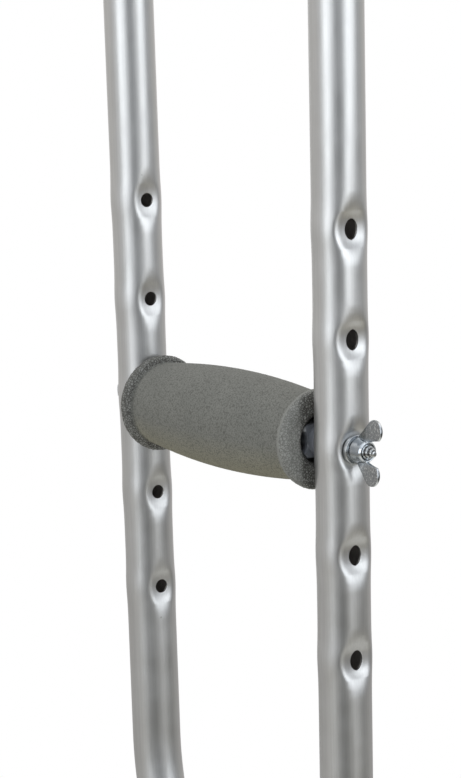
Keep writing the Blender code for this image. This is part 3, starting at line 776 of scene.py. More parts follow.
steel = spring_steel()
for label, side in (("right", -1), ("left", 1)):
    button = label + "_button"
    button_at = shift(0, BUTTON_Z) @ Matrix.Rotation(-side * math.pi / 2, 4, "X")
    placed(button + "_dome", snap_button(), steel, button, button, at=button_at)
    arm = placed(label + "_spring_arm", spring_arm(side), steel, None, "snap_spring")
    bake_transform(arm)


# Rubber tip and its disc
# A moulded rubber ferrule is pushed over the foot of the inner tube. Its foot flares out to a ribbed
# ring that grips the floor, its neck has two rings, and a steel disc keeps the tube from cutting it.

TIP_R = 24.0
TIP_NECK_R = 16.0
TIP_HEIGHT = 50.0
TIP_FLOOR_Z = 7.7
TIP_EASE = 0.5
FLARE_LOW, FLARE_HIGH = 4.0, 20.0
FLARE_STEPS = 16
NECK_RINGS_Z = (27.0, 36.0)
NECK_RING = ((0, 0), (1, 1), (1, 3), (0, 4))
SOLE_HOLLOW = 1.6
SOLE_HOLLOW_R = (8.5, 10.0)
SOLE_GROOVES_R = (12.6, 15.4, 18.2)
SOLE_GROOVE = 0.9
DISC_THICK = 1.2
DISC_EASE = 0.25


def grey_rubber():
    """Moulded rubber, matt grey-black, with dust worked into its lower edge."""
    made, at = finish_of("grey_rubber")
    cloud = patchy(at, 120.0, 5.0)
    dusty = sums("MULTIPLY", ramp(part_of(at, "Z"), 0.45, 0.0, 0.0, 0.012), cloud)
    clean = spread(cloud, (0.086, 0.086, 0.084), (0.108, 0.108, 0.104))
    return finished(made, mixed(dusty, clean, (0.24, 0.225, 0.2, 1)), spread(cloud, 0.7, 0.85),
                    relief(patchy(at, 2100.0, 3.0), 0.3, 0.00008), gloss=0.35)


def tip_outline():
    """The ferrule's section, from the middle of its sole, over the flare and the neck, to the bore."""
    bore_r = TUBE_R + GAP
    outline = [(0, SOLE_HOLLOW), (SOLE_HOLLOW_R[0], SOLE_HOLLOW), (SOLE_HOLLOW_R[1], 0)]
    for r in SOLE_GROOVES_R:
        outline += [(r - 0.7, 0), (r - 0.3, SOLE_GROOVE), (r + 0.3, SOLE_GROOVE), (r + 0.7, 0)]
    outline += [(0.9 * TIP_R, 0), (TIP_R - 0.6, 1.2)]
    for share in (i / FLARE_STEPS for i in range(FLARE_STEPS + 1)):
        reach = (TIP_R - TIP_NECK_R) * (1 + math.cos(math.pi * share)) / 2
        outline.append((TIP_NECK_R + reach, FLARE_LOW + (FLARE_HIGH - FLARE_LOW) * share))
    outline += [(TIP_NECK_R + out, z + up) for z in NECK_RINGS_Z for out, up in NECK_RING]
    return outline + [(TIP_NECK_R, TIP_HEIGHT - 2.0), (TIP_NECK_R - 1.2, TIP_HEIGHT), (bore_r, TIP_HEIGHT),
                      (bore_r, TIP_FLOOR_Z), (0, TIP_FLOOR_Z)]


ferrule = turned(eased(tip_outline(), TIP_EASE, steps=3), 128)
placed("rubber_tip_ferrule", ferrule, grey_rubber(), "inner_leg", "rubber_tip")
disc_z = TIP_FLOOR_Z + GAP
disc_r = TUBE_R - GAP
disc = [(0, disc_z), (disc_r, disc_z), (disc_r, disc_z + DISC_THICK), (0, disc_z + DISC_THICK)]
placed("tip_disc_plate", turned(eased(disc, DISC_EASE)), steel, "inner_leg", "tip_disc")


# Arm saddle
# A moulded plastic crossbar joins the tops of the uprights. It is cored out underneath to save
# plastic, and a socket at each end is pushed over the tube and riveted.

ARMREST_Z = 1262.0
PAD_THICK = 18.0
SOCKET_R = 13.8
SOCKET_FOOT_Z = 1200.0
SOCKET_TOP_Z = 1248.0
SOCKET_ROOF = 4.0
SOCKET_LEAD = 0.5
SOCKET_X = upper_run(SOCKET_TOP_Z)
SADDLE_WIDTH = 24.0
SADDLE_DEPTH = 15.0
SADDLE_DISH = 3.5
SADDLE_WALL = 2.4
SADDLE_STEPS = 24
BAR_EASES = [0.6, 4.0, 4.0, 0.6]
POCKETS = 5
POCKET_EASE = 1.5
POCKET_ROOF_EASE = 0.8
POCKET_DRAFT = (1.04, 0.99, 0.94)
RIVET_DRILL = 20.0
TO_Y = Matrix.Rotation(math.pi / 2, 4, "X")


def combined(part, others, operation):
    """A shape joined to others or cut by them."""
    scratch = [in_scene("scratch", mesh_of("scratch", shape)) for shape in (part, *others)]
    for other in scratch[1:]:
        step = scratch[0].modifiers.new("step", "BOOLEAN")
        step.operation = operation
        step.solver = "EXACT"
        step.object = other
    depsgraph = bpy.context.evaluated_depsgraph_get()
    made = bmesh.new()
    made.from_mesh(scratch[0].evaluated_get(depsgraph).to_mesh())
    for thing in scratch:
        bpy.data.objects.remove(thing)
    bmesh.ops.remove_doubles(made, verts=made.verts, dist=MERGE)
    return made


def saddle_top(x):
    """Height of the crossbar, which dips in the middle."""
    return ARMREST_Z - PAD_THICK + SADDLE_DISH * (x / SOCKET_X) ** 2


def crossbar():
    """A bar with rounded upper edges along the dished top line."""
    rings = []
    half = SADDLE_WIDTH / 2
    for i in range(-SADDLE_STEPS, SADDLE_STEPS + 1):
        x = SOCKET_X * i / SADDLE_STEPS
        top = saddle_top(x)
        corners = [(half, top - SADDLE_DEPTH), (half, top), (-half, top), (-half, top - SADDLE_DEPTH)]
        rings.append([(x, *point) for point in eased(corners, BAR_EASES, loop=True)])
    return shell(rings)


def at_sockets(section, radii):
    """A section spun into a socket's outside or inside, and set square on each upright's top."""
    return [moved(turned(eased(section, radii)),
                  shift(side * SOCKET_X, SOCKET_TOP_Z) @ Matrix.Rotation(side * TOP_LEAN, 4, "Y"))
            for side in (1, -1)]


def pocket(middle, half):
    """A pocket for the crossbar's underside, with draft so that the moulding leaves its die."""
    across = SADDLE_WIDTH / 2 - SADDLE_WALL
    corners = [(-half, -across), (half, -across), (half, across), (-half, across)]
    rounded = eased(corners, POCKET_EASE, loop=True)
    roof = saddle_top(middle) - SADDLE_WALL
    levels = zip((roof - 2 * SADDLE_DEPTH, roof - POCKET_ROOF_EASE, roof), POCKET_DRAFT)
    return shell([[(middle + x * draft, y * draft, z) for x, y in rounded] for z, draft in levels])


def arm_saddle():
    """The crossbar and its sockets in one moulding, with the pockets, bores and rivet holes cut out."""
    foot = SOCKET_FOOT_Z - SOCKET_TOP_Z
    mouth_r = TUBE_R + SOCKET_LEAD
    bore_r = TUBE_R + GAP
    sockets = at_sockets([(0, foot), (SOCKET_R, foot), (SOCKET_R, 0), (0, 0)], [0, 0.8, 2.0, 0])
    cutters = at_sockets([(0, foot - 2), (mouth_r, foot - 2), (mouth_r, foot), (bore_r, foot + 1.0),
                          (bore_r, -SOCKET_ROOF), (0, -SOCKET_ROOF)], [0, 0, 0.2, 0.2, 0.6, 0])
    pitch = (SOCKET_X - SOCKET_R - SADDLE_WALL) / (POCKETS / 2)
    cutters += [pocket((i - POCKETS // 2) * pitch, (pitch - SADDLE_WALL) / 2) for i in range(POCKETS)]
    for side in (1, -1):
        drill = turned([(RIVET_HOLE[0], z) for z in (-RIVET_DRILL, RIVET_DRILL)], 32)
        cutters.append(moved(drill, shift(side * upper_run(RIVET_Z), RIVET_Z) @ TO_Y))
    return combined(combined(crossbar(), sockets, "UNION"), cutters, "DIFFERENCE")


placed("arm_saddle_moulding", arm_saddle(), plastic, "frame", "arm_saddle", sharp=35)


# Rivets
# A zinc-plated through rivet holds each socket on its upright. Its ends are upset into low domes.

RIVET_R = 2.4
RIVET_HEAD_R = 4.4
RIVET_HEAD = ((RIVET_R, 0), (RIVET_HEAD_R, 0), (RIVET_HEAD_R - 0.2, 0.7), (0.7 * RIVET_HEAD_R, 1.5),
              (0.35 * RIVET_HEAD_R, 1.85), (0, 1.9))
RIVET_EASE = 0.35

for label, side in SIDES:
    half = [(r, SOCKET_R + 0.05 + up) for r, up in RIVET_HEAD]
    rivet = turned(eased([(r, -y) for r, y in half[::-1]] + half, RIVET_EASE), 48)
    rivet_at = shift(side * upper_run(RIVET_Z), RIVET_Z) @ TO_Y
    placed(label + "_rivet_dome", rivet, zinc, "frame", label + "_rivet", at=rivet_at)


# Underarm pad
# A moulded closed-cell foam pad slips down over the saddle and its sockets, which fill a slot in its
# underside. It is dished along its top and drawn in at its ends, and it has a pebbled skin.

PAD_HALF_LENGTH = 111.0
PAD_HALF_WIDTH = 23.0
PAD_FOOT_Z = 1216.0
PAD_MIDDLE_Z = 1243.0
PAD_RISE = 7.0
PAD_RIM = 1.5
PAD_STEPS = 44
PAD_POINTS = 112
PAD_SQUARE = (0.75, 0.85)
PAD_ENDS = (7, 0.4)


def warped(at, scale, detail, shift_by):
    """The point, pushed about a little by a noise, so that cells drawn at it aren't regular."""
    return vectors("MULTIPLY_ADD", patchy(at, scale, detail, out="Color"), (shift_by,) * 3, at)


def grey_foam():
    """Closed-cell foam with a pebbled skin: fine grains with painted shade in the creases between them,
    and a handled, dusty look. Its underside is painted a little lighter and warmer, as painted light
    that stands for warm light from the floor."""
    made, at = finish_of("grey_foam")
    bent = warped(at, 600.0, 2.0, 0.0006)
    grain = node("TexVoronoi", {"Vector": bent, "Scale": 1450.0, "Smoothness": 0.35}, feature="SMOOTH_F1")
    fine = patchy(at, 3600.0, 2.0)
    cloud = patchy(at, 55.0, 5.0, 0.6)
    skin = ramp(cloud, (0.229, 0.231, 0.208), (0.268, 0.268, 0.242), 0.32, 0.68)
    facing = part_of(at.node.outputs["Normal"], "Z")
    # Painted light: faces that look down are made lighter and warmer, as if lit from the floor.
    skin = vectors("MULTIPLY", skin, ramp(facing, (1.36, 1.28, 1.04), (1.0, 1.0, 1.0), -0.85, -0.1))
    # Painted shade: the creases between the grains are darkened.
    colour = mixed(ramp(grain, 0.0, 0.62, 0.35, 0.8), skin, (0.085, 0.083, 0.072, 1))
    colour = mixed(ramp(fine, 0.0, 0.35, 0.52, 0.72), colour, (0.3, 0.3, 0.275, 1))
    pebbles = relief(sums("SUBTRACT", 1.0, grain), 0.6, 0.00022)
    return finished(made, colour, spread(cloud, 0.72, 0.86), relief(fine, 0.35, 0.00008, pebbles), gloss=0.3)


def pad_ring(share):
    """A ring of the pad at a share of its half length: crowned, with the ends drawn in."""
    end = (1 - abs(share) ** PAD_ENDS[0]) ** PAD_ENDS[1]
    up = (ARMREST_Z - PAD_MIDDLE_Z + PAD_RISE * share ** 2) * end
    down = (PAD_MIDDLE_Z - PAD_FOOT_Z) * end
    ring = []
    for a in turns(PAD_POINTS):
        c, s = math.cos(a), math.sin(a)
        y = PAD_HALF_WIDTH * end * math.copysign(abs(c) ** PAD_SQUARE[0], c)
        z = (up if s > 0 else down) * math.copysign(abs(s) ** PAD_SQUARE[1], s)
        ring.append((PAD_HALF_LENGTH * share, y, PAD_MIDDLE_Z + z))
    return ring


def underarm_pad():
    """The crowned pad with a round-ended slot for the saddle."""
    nearly_all = math.pi / 2 * 0.997
    shares = [math.sin(nearly_all * i / PAD_STEPS) for i in range(-PAD_STEPS, PAD_STEPS + 1)]
    around = []
    for side in (1, -1):
        around += arc(side * SOCKET_X, 0, SOCKET_R + 2 * GAP, -90 * side, 180 - 90 * side, 24)
    slot = shell([[(x, y, z) for x, y in around] for z in (PAD_FOOT_Z - 10, SOCKET_TOP_Z + 2 * GAP)])
    return combined(shell([pad_ring(share) for share in shares]), [slot], "DIFFERENCE")


foam = grey_foam()
pad = placed("underarm_pad_foam", underarm_pad(), foam, "frame", "underarm_pad", sharp=50)
rounded_edges(pad, "moulded_rim", PAD_RIM, 3, 55)
pad.modifiers.move(len(pad.modifiers) - 1, 0)


# Grip core
# A moulded plastic tube round the bolt carries the foam grip and keeps the uprights apart. Four lugs
# run along it under the foam and keep the foam from turning, and a hollowed plate closes each end.

CORE_HALF = 64.0
CORE_R = 7.2
CORE_BORE_R = 5.7
LUG_HALF = 60.8
LUG_R = 10.2
LUG_HIGH = 7.1
LUG_LOW = 4.3
PLATE_THICK = 2.4
PLATE_EDGE = 0.55
HOLLOW_R = 7.1
HOLLOW_AT = 14.3
CORE_STEPS = 180
MARGIN = 0.1
GRIP_DROP = 0.9
GRIP_TILT = math.radians(1.2)
GRIP_AT = shift(0, GRIP_Z - GRIP_DROP) @ Matrix.Rotation(-GRIP_TILT, 4, "Y")


def joined(parts):
    """Several closed shapes in one mesh."""
    made = bmesh.new()
    for part in parts:
        made.from_mesh(mesh_of("carrier", part))
    return made


def along_grip(at, direction):
    """How far a point is from the grip's middle in a direction."""
    off = vectors("SUBTRACT", at, (0.0, 0.0, (GRIP_Z - GRIP_DROP) * MM))
    return vectors("DOT_PRODUCT", off, tuple(direction.to_3d()))


def beside_grip(at):
    """How far a point is to either side of the grip's middle plane."""
    return sums("ABSOLUTE", part_of(at, "Y"))


def lightened_core_plastic():
    """The core's plastic: the dark plastic painted a lighter blue-grey to make up for the shade inside
    the grip, with a painted highlight on the outer corners of the upper lugs.
    """
    made, at = finish_of("dark_plastic", "core")
    patches = patchy(at, 300.0, 3.0)
    high = ramp(along_grip(at, GRIP_AT.col[2]), 0.0, 1.0, 0.0041, 0.0045)
    # Painted highlight on the outer corners of the upper lugs, where they catch the light.
    lug_highlight = sums("MULTIPLY", high, ramp(beside_grip(at), 0.0, 1.0, 0.0078, 0.0084))
    # Painted light: lighter than the dark plastic the core is made of, making up for its shade.
    plain = spread(patches, (0.15, 0.158, 0.178), (0.20, 0.21, 0.23))
    return finished(made, mixed(lug_highlight, plain, (0.52, 0.53, 0.54, 1)), spread(patches, 0.32, 0.42))


def plate_reach(level, up):
    """How far an end plate reaches: flat above and below, and hollow at each side between the lugs."""
    reach = min(LUG_R, LUG_HIGH / max(up, 1e-6))
    if HOLLOW_AT * up < HOLLOW_R:
        reach = min(reach, HOLLOW_AT * level - math.sqrt(HOLLOW_R ** 2 - (HOLLOW_AT * up) ** 2))
    return reach


def lug_reach(level, up):
    """How far the tube reaches with its four lugs. Between them it stays inside the tube's skin."""
    return LUG_R if LUG_LOW < LUG_R * up < LUG_HIGH else CORE_R - MARGIN


def grip_core():
    """The tube, its lugs and a plate over the lugs at each end, made along Z."""
    outline = [(CORE_BORE_R, -CORE_HALF), (CORE_R, -CORE_HALF), (CORE_R, CORE_HALF), (CORE_BORE_R, CORE_HALF)]
    tube = turned(eased(outline, 0.4, loop=True), 96, loop=True)
    inner = LUG_HALF - PLATE_THICK
    steps = [(plate_reach, -LUG_HALF, PLATE_EDGE), (plate_reach, PLATE_EDGE - LUG_HALF, 0),
             (plate_reach, -inner, 0), (lug_reach, -inner, 0), (lug_reach, inner, 0), (plate_reach, inner, 0),
             (plate_reach, LUG_HALF - PLATE_EDGE, 0), (plate_reach, LUG_HALF, PLATE_EDGE)]
    rings = [[polar(reach(abs(math.sin(a)), abs(math.cos(a))) - inset, a, z) for a in turns(CORE_STEPS)]
             for reach, z, inset in steps]
    rings += round_rings([(CORE_R - 0.5, LUG_HALF), (CORE_R - 0.5, -LUG_HALF)], CORE_STEPS)
    return joined([tube, shell(rings, loop=True)])


placed("grip_core_moulding", grip_core(), lightened_core_plastic(), "frame", "grip_core", at=GRIP_AT @ TO_X)


# Grip sleeve
# The hand grip is a sleeve of the same foam. It swells in the middle for the palm and has a rolled
# rim at each end, and its cut end faces are coarser than its skin.

SLEEVE_HALF = 61.8
BELLY_R = 21.8
BELLY_FALL = 0.00121
BELLY_LEAN = 0.005
BELLY_STEPS = 89
RIM_ROLL = 3.2
RIM_R = {-1: 21.4, 1: 21.05}
RIM_START = 168
RIM_STEPS = 9
CREASE_WIDTH = {-1: 1.2, 1: 0.0}
CREASE_DEPTH = 0.8
CREASE_FLOOR = (0.2, 1.0)
SEAM_RISE = 0.1
MOUTH_R = 12.2
SLEEVE_BORE_R = 10.6
SLEEVE_STEPS = 340
# Where the painted highlight line runs round the sleeve's near rim.
SHOULDER_HIGHLIGHT = 58.75
GRAINS = 0.95
LUMPS = 0.42
LUMP_SHARE = 0.6
SKIN_RELIEF = 0.05
CUT_RELIEF = 0.18


def sleeve_half(side):
    """The sleeve's section in (radius, distance along it), from beside its middle to one end's bore."""
    roll_at = SLEEVE_HALF - RIM_ROLL
    roll_r = RIM_R[side] - RIM_ROLL
    belly_end = roll_at - RIM_ROLL - CREASE_FLOOR[0] - CREASE_WIDTH[side]
    half = []
    for i in range(1, BELLY_STEPS + 1):
        x = side * belly_end * i / BELLY_STEPS
        half.append((BELLY_R - BELLY_FALL * x * x - BELLY_LEAN * x, x))
    beside = half[-1][0]
    if CREASE_WIDTH[side]:
        half += [(beside - CREASE_DEPTH, side * (belly_end + end)) for end in CREASE_FLOOR]
    roll = arc(roll_at, roll_r, RIM_ROLL, RIM_START, 90, RIM_STEPS)
    roll[0] = (roll[0][0], max(roll[0][1], beside))
    roll[-1] = (roll_at, roll_r + RIM_ROLL + SEAM_RISE)
    roll += arc(roll_at, roll_r, RIM_ROLL, 90, 0, RIM_STEPS)[1:]
    half += [(r, side * x) for x, r in roll]
    half += [(roll_r + (MOUTH_R - roll_r) * i / 8, side * SLEEVE_HALF) for i in range(1, 9)]
    bevel = MOUTH_R - SLEEVE_BORE_R
    return half + [(MOUTH_R - bevel * i / 5, side * (SLEEVE_HALF - bevel * i / 5)) for i in range(1, 6)]


def pebbled(part):
    """Raises the grains of the skin and the coarser grains of the cut ends."""
    part.normal_update()
    for vert in part.verts:
        if math.hypot(vert.co.x, vert.co.y) < SLEEVE_BORE_R + MARGIN:
            continue
        ends = min(1.0, max(0.0, (abs(vert.co.z) - SLEEVE_HALF + 2 * RIM_ROLL) / RIM_ROLL))
        near, far = noise.voronoi(vert.co * GRAINS)[0][:2]
        grain = min(far - near, 0.5) * 2 - 0.5
        lump = noise.noise(vert.co * LUMPS)
        height = SKIN_RELIEF + (CUT_RELIEF - SKIN_RELIEF) * ends
        vert.co += vert.normal * (height * (grain + LUMP_SHARE * lump))
    return part


def cut_foam():
    """The foam's rims and cut ends: open, coarse cells with painted shade in the creases between them,
    and a painted highlight line along the rim's shoulder. Painted shade darkens the cells where the
    ends face the tubes, and all over the rear rim."""
    made, at = finish_of("grey_foam", "cut")
    bent = warped(at, 1400.0, 3.0, 0.0016)
    cell = node("TexVoronoi", {"Vector": bent, "Scale": 900.0}, feature="DISTANCE_TO_EDGE")
    cloud = patchy(at, 90.0, 4.0)
    skin = ramp(cloud, (0.333, 0.334, 0.311), (0.384, 0.384, 0.359), 0.32, 0.68)
    # Painted shade: the edges between the cells are darkened.
    colour = mixed(ramp(cell, 0.6, 0.0, 0.02, 0.2), skin, (0.06, 0.058, 0.05, 1))
    along = along_grip(at, GRIP_AT.col[0])
    # Painted highlight: a thin light line along the rim's shoulder, where its crest catches the light.
    colour = mixed(sums("COMPARE", along, SHOULDER_HIGHLIGHT * MM, 0.0005), colour, (0.315, 0.315, 0.29, 1))
    facing = sums("ABSOLUTE", part_of(at.node.outputs["Normal"], "X"))
    # Painted shade: the ends behind the tubes and the whole rear rim are darkened, most in the creases.
    middle = ramp(beside_grip(at), 0.74, 0.0, 0.0102, 0.0122)
    shade_by_tube = sums("MULTIPLY", middle, ramp(facing, 0.0, 1.0, 0.3, 0.7))
    painted_shade = sums("MAXIMUM", shade_by_tube, ramp(along, 0.55, 0.0, -0.03, 0.03))
    colour = mixed(sums("MULTIPLY", painted_shade, ramp(cell, 1.0, 0.1, 0.06, 0.3)), colour, (0.04, 0.037, 0.03, 1))
    return finished(made, colour, spread(cloud, 0.75, 0.88), relief(cell, 0.7, 0.0003), gloss=0.3)


section = sleeve_half(-1)[::-1] + [(BELLY_R, 0.0)] + sleeve_half(1)
shape = pebbled(turned(section, SLEEVE_STEPS, loop=True))
for face in shape.faces:
    face.material_index = int(abs(face.calc_center_median().z) > SLEEVE_HALF - 2 * RIM_ROLL - MARGIN)
sleeve = placed("grip_sleeve_foam", shape, foam, "frame", "grip_sleeve", at=GRIP_AT @ TO_X, sharp=None)
sleeve.data.materials.append(cut_foam())


# Grip bolt and washers
# An M6 bolt goes through both uprights and the core, from the rear. A flat washer lies in the punched
# dish under its head and another under the wing nut, and both hang a little low on the bolt.

WASHER_R = 6.0
WASHER_BORE_R = 3.3
WASHER_THICK = 1.6
WASHER_DROP = 0.3
FRONT_WASHER_X = 82.6
REAR_WASHER_X = -84.2
HEAD_X = -84.5
BOLT_LENGTH = 179.4
BOLT_THREAD = 28.0
# How far below the thread's crest a face lies in the painted shade of the groove.
GROOVE_SHADE_DEPTH = 0.3


def washer():
    """A stamped washer: one edge rounded by the die and the other nearly sharp."""
    outline = [(WASHER_BORE_R, 0), (WASHER_R, 0), (WASHER_R, WASHER_THICK), (WASHER_BORE_R, WASHER_THICK)]
    return turned(eased(outline, [0.1, 0.12, 0.35, 0.2], loop=True), 96, loop=True)


# Faces deep in the thread's grooves get a darkened zinc: painted shade in the grooves.
shape = hex_bolt(BOLT_LENGTH, BOLT_THREAD)
for face in shape.faces:
    x, y, z = face.calc_center_median()
    on_thread = BOLT_LENGTH - BOLT_THREAD < z < BOLT_LENGTH
    in_groove = on_thread and math.hypot(x, y) < crest_at(BOLT_LENGTH, z) - GROOVE_SHADE_DEPTH
    face.material_index = int(in_groove)
bolt = placed("grip_bolt_m6", shape, zinc, "bolt", "grip_bolt", at=shift(HEAD_X, GRIP_Z) @ TO_X, sharp=50)
bolt.data.materials.append(zinc_plate("shaded_thread_groove", 0.85))
for label, body, x in (("front", "washer", FRONT_WASHER_X), ("rear", "bolt", REAR_WASHER_X)):
    name = label + "_washer"
    placed(name + "_flat", washer(), zinc, body, name, at=shift(x, GRIP_Z - WASHER_DROP) @ TO_X)


# Wing nut
# A die-cast wing nut holds the grip bolt, so that the grip can be moved to other holes by hand. Two
# rounded ears grow out of a tapered hub with soft fillets, and the casting is zinc plated.

NUT_X = 84.5
NUT_TURN = math.radians(-5.5)
HUB_R = 5.2
HUB_TOP_R = 4.1
HUB_HEIGHT = 6.8
HUB_EASE = 0.15
EAR_THICK = 1.35
EAR_EDGE = 0.42
EAR_R = 4.65
EAR_RISE = 9.9
EAR_REACH = 8.8
EAR_BACK = [(4.9, 10.4), (4.4, 8.2), (3.75, 6.6), (3.35, HUB_HEIGHT - 0.4)]
CASTING_GRID = 0.14


def cast_zinc():
    """Zinc-plated casting: the hub is smooth, with a bright ring, and the ears are grained, dull and
    spotted. Their front shoulders carry a painted highlight, and what faces straight ahead is painted dark."""
    made, at = finish_of("zinc_plate", "casting")
    off_axis = vectors("MULTIPLY", vectors("SUBTRACT", at, (0.0, 0.0, GRIP_Z * MM)), (0.0, 1.0, 1.0))
    away = vectors("LENGTH", off_axis)
    on_ear = ramp(away, 0.0, 1.0, 0.0046, 0.0060)
    mottle = patchy(at, 900.0, 4.0, 0.65)
    dull = ramp(mottle, (0.28, 0.295, 0.305), (0.42, 0.43, 0.43), 0.35, 0.65)
    dull = mixed(ramp(patchy(at, 1300.0, 1.0), 0.0, 0.7, 0.58, 0.68), dull, (0.74, 0.75, 0.74, 1))
    smooth = mixed(ramp(away, 1.0, 0.0, 0.0041, 0.0045), (0.42, 0.455, 0.49, 1), (0.86, 0.90, 0.94, 1))
    # Painted highlight and painted dark edge on the ears, chosen by which way their faces point.
    painted_rim = sums("MULTIPLY", on_ear, part_of(at.node.outputs["Normal"], "X"))
    colour = mixed(on_ear, smooth, dull)
    colour = mixed(ramp(painted_rim, 0.0, 1.0, 0.42, 0.62), colour, (0.88, 0.90, 0.92, 1))
    colour = mixed(ramp(painted_rim, 0.0, 1.0, 0.82, 0.94), colour, (0.2, 0.21, 0.22, 1))
    return finished(made, colour, ramp(away, 0.15, 0.26, 0.0046, 0.0060), relief(mottle, 0.3, 0.00007),
                    metal=1.0)


def hub():
    """The tapered hub, which thins to a chamfered ring round the thread."""
    foot_r = HUB_R - 0.7
    outline = [(NUT_BORE_R, 0), (foot_r, 0), (foot_r, 0.5), (HUB_R, 1.0), (HUB_TOP_R + 0.5, 3.9),
               (HUB_TOP_R + 0.4, HUB_HEIGHT - 0.9), (HUB_TOP_R - 0.2, HUB_HEIGHT),
               (HUB_TOP_R - 0.4, HUB_HEIGHT), (NUT_BORE_R, HUB_HEIGHT - 0.8)]
    return turned(eased(outline, HUB_EASE, loop=True), 72, loop=True)


def ear(side):
    """One ear: its back edge climbs from the hub's foot, and it ends in a round lobe."""
    outline = [(HUB_TOP_R - 0.4, 0.5), (HUB_R + 0.3, 0.5)]
    outline += arc(EAR_REACH, EAR_RISE, EAR_R, -38, 138, 22) + EAR_BACK
    blade = slab(outline, -EAR_THICK / 2, EAR_THICK / 2, EAR_EDGE)
    return moved(blade, Matrix(((side, 0, 0, 0), (0, 0, 1, 0), (0, 1, 0, 0), (0, 0, 0, 1))))


nut_at = shift(NUT_X, GRIP_Z) @ Matrix.Rotation(NUT_TURN, 4, "X") @ TO_X
casting = joined([hub(), ear(1), ear(-1)])
nut = placed("wing_nut_casting", casting, cast_zinc(), "wing_nut", "wing_nut", at=nut_at, sharp=None)
cast = nut.modifiers.new("one_casting", "REMESH")
cast.mode = "VOXEL"
cast.voxel_size = CASTING_GRID * MM
cast.use_smooth_shade = True
soften = nut.modifiers.new("soft_fillets", "SMOOTH")
soften.factor = 0.5
soften.iterations = 3


# Stage
# The camera at the photograph's viewing angle, two tall soft lamps and a pale floor. The surround is
# plain white where the camera looks, and for the rest a pale room, dimmer on the camera's side.

LENS = 109.48
SENSOR = 36.0
CAMERA_AT = (0.81878, -0.56906, 1.02617)
LOOK_AZIMUTH = 145.3397
LOOK_DROP = 10.9824
CAMERA_ROLL = math.radians(-1.5658)
LAMPS = (("left_lamp", -72.5, 1.55), ("right_lamp", 16.5, 1.7))
LAMP_TILT = math.radians(22)
LAMP_DISTANCE = 2.0
LAMP_RADIANCE = 1.6
LAMP_COLOUR = (0.93, 0.965, 1.0)
LAMP_LOW = 0.6
LAMP_HIGH = 1.74
FLOOR_R = 1.1
FLOOR_FADE = (0.1, 0.7)
FLOOR_LIT = (0.62, 0.61, 0.57, 1)
FLOOR_SEEN = (0.88, 0.875, 0.85, 1)
WALL_LEVEL = 0.56
DIM_SIDE = -19.7
WHITE = (1, 1, 1, 1)


def way(azimuth, elevation=0.0):
    """A direction. Azimuth is measured in degrees from +X towards +Y."""
    turn = math.radians(azimuth)
    rise = math.radians(elevation)
    return Vector((math.cos(turn) * math.cos(rise), math.sin(turn) * math.cos(rise), math.sin(rise)))


GLOWS = ((way(145.3), 0.44, 0.8), (way(-91.0, -18.0), 0.30, 0.86), (way(9.0, -18.0), 0.30, 0.82))


def soft_lamp(name, azimuth, width):
    """A tall soft lamp that faces the grip, leaning to one side."""
    data = bpy.data.lights.new(name, "AREA")
    data.shape = "RECTANGLE"
    data.size = width
    data.size_y = LAMP_HIGH - LAMP_LOW
    data.energy = LAMP_RADIANCE * math.pi * width * data.size_y
    data.color = LAMP_COLOUR
    lamp = in_scene(name, data)
    away = way(azimuth)
    lamp.location = away * LAMP_DISTANCE + Vector((0, 0, (LAMP_LOW + LAMP_HIGH) / 2))
    lean = Matrix.Rotation(LAMP_TILT, 3, "Z")
    lamp.rotation_euler = (away.to_track_quat("Z", "Y").to_matrix() @ lean).to_euler()
    lamp.visible_camera = False


def bare_tree(holder):
    """The node tree of a material or a world, emptied."""
    holder.use_nodes = True
    holder.node_tree.nodes.clear()
    return holder.node_tree


def sweep_floor():
    """The floor: a matt pale disc that keeps the crutch's shadow and fades to plain white outwards. It
    goes with the inner leg, so that the tip stands on it at every height."""
    made = bpy.data.materials.new("pale_floor")
    tree = bare_tree(made)
    seen = node("LightPath", (), tree, "Is Camera Ray")
    away = vectors("LENGTH", node("TexCoord", (), tree, "Object"))
    fade = sums("MULTIPLY", seen, ramp(away, 0.0, 1.0, *FLOOR_FADE))
    matt = node("BsdfDiffuse", {"Color": mixed(seen, FLOOR_LIT, FLOOR_SEEN)})
    plain = node("Emission", {"Color": WHITE}, tree)
    node("OutputMaterial", {"Surface": node("MixShader", (fade, matt, plain))})
    disc = bmesh.new()
    bmesh.ops.create_circle(disc, cap_ends=True, segments=96, radius=FLOOR_R)
    floor = in_scene("floor", mesh_of("floor", disc))
    floor.data.materials.append(made)
    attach(floor, "inner_leg")


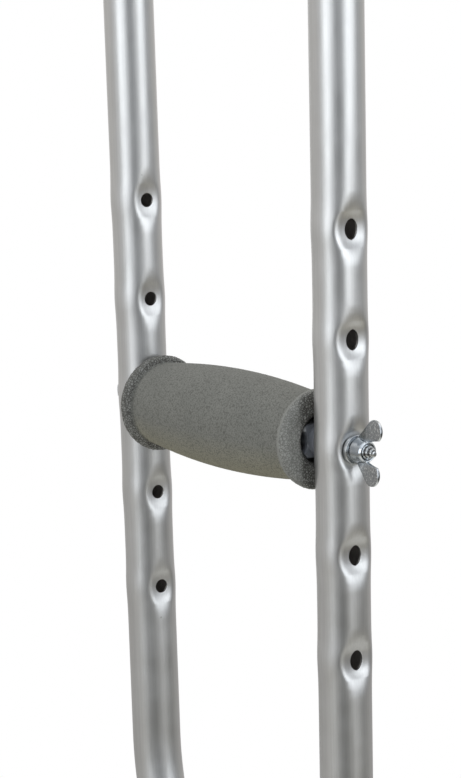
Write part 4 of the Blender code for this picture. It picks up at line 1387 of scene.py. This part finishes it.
def surround():
    """The world: plain white where the camera looks, also through something. The room that lights the
    crutch has pale patches behind it and beside the lamps, a dimmer wall on the camera's side, a
    bright ceiling and warm light from the floor."""
    world = bpy.data.worlds.new("surround")
    bpy.context.scene.world = world
    tree = bare_tree(world)
    looking = node("TexCoord", (), tree, "Generated")
    height = part_of(looking, "Z")

    def towards(direction, level, start, end):
        """A level that grows with nearness to one direction."""
        return ramp(vectors("DOT_PRODUCT", looking, tuple(direction)), 0.0, level, start, end)

    front = towards(way(DIM_SIDE), 1.0, -0.3, 0.5)
    walls = sums("SUBTRACT", WALL_LEVEL, sums("MULTIPLY", front, ramp(height, 0.45, 0.22, -0.24, 0.0)))
    for direction, level, start in GLOWS:
        walls = sums("ADD", walls, towards(direction, level, start, 0.98))
    walls = sums("MULTIPLY", walls, ramp(height, 0.62, 1.0, -0.42, 0.0))
    ends = sums("ADD", ramp(height, 0.0, 0.5, 0.35, 0.8), ramp(height, 0.34, 0.0, -0.8, -0.42))
    tint = ramp(height, (1.05, 1.01, 0.92), (0.92, 0.975, 1.05), -0.24, -0.12)
    tint = mixed(front, (1.015, 1.0, 0.98, 1), tint)
    tint = mixed(ramp(height, 1.0, 0.0, -0.65, -0.4), tint, (1.06, 0.98, 0.76, 1))
    room = vectors("SCALE", tint, sums("ADD", walls, ends))
    ray = node("LightPath", (), tree).node.outputs
    seen = sums("MAXIMUM", ray["Is Camera Ray"], ray["Is Transmission Ray"])
    node("OutputWorld", {"Surface": node("Background", {"Color": mixed(seen, room, WHITE)})})


lens = bpy.data.cameras.new("camera")
lens.lens = LENS
lens.sensor_width = SENSOR
lens.clip_start = 0.01
camera = in_scene("camera", lens)
forward = way(LOOK_AZIMUTH, -LOOK_DROP)
aim = forward.to_track_quat("-Z", "Y").to_matrix().to_4x4() @ Matrix.Rotation(CAMERA_ROLL, 4, "Z")
camera.matrix_world = Matrix.Translation(CAMERA_AT) @ aim
bpy.context.scene.camera = camera
bpy.context.scene.view_settings.view_transform = "Standard"

for lamp in LAMPS:
    soft_lamp(*lamp)
sweep_floor()
surround()
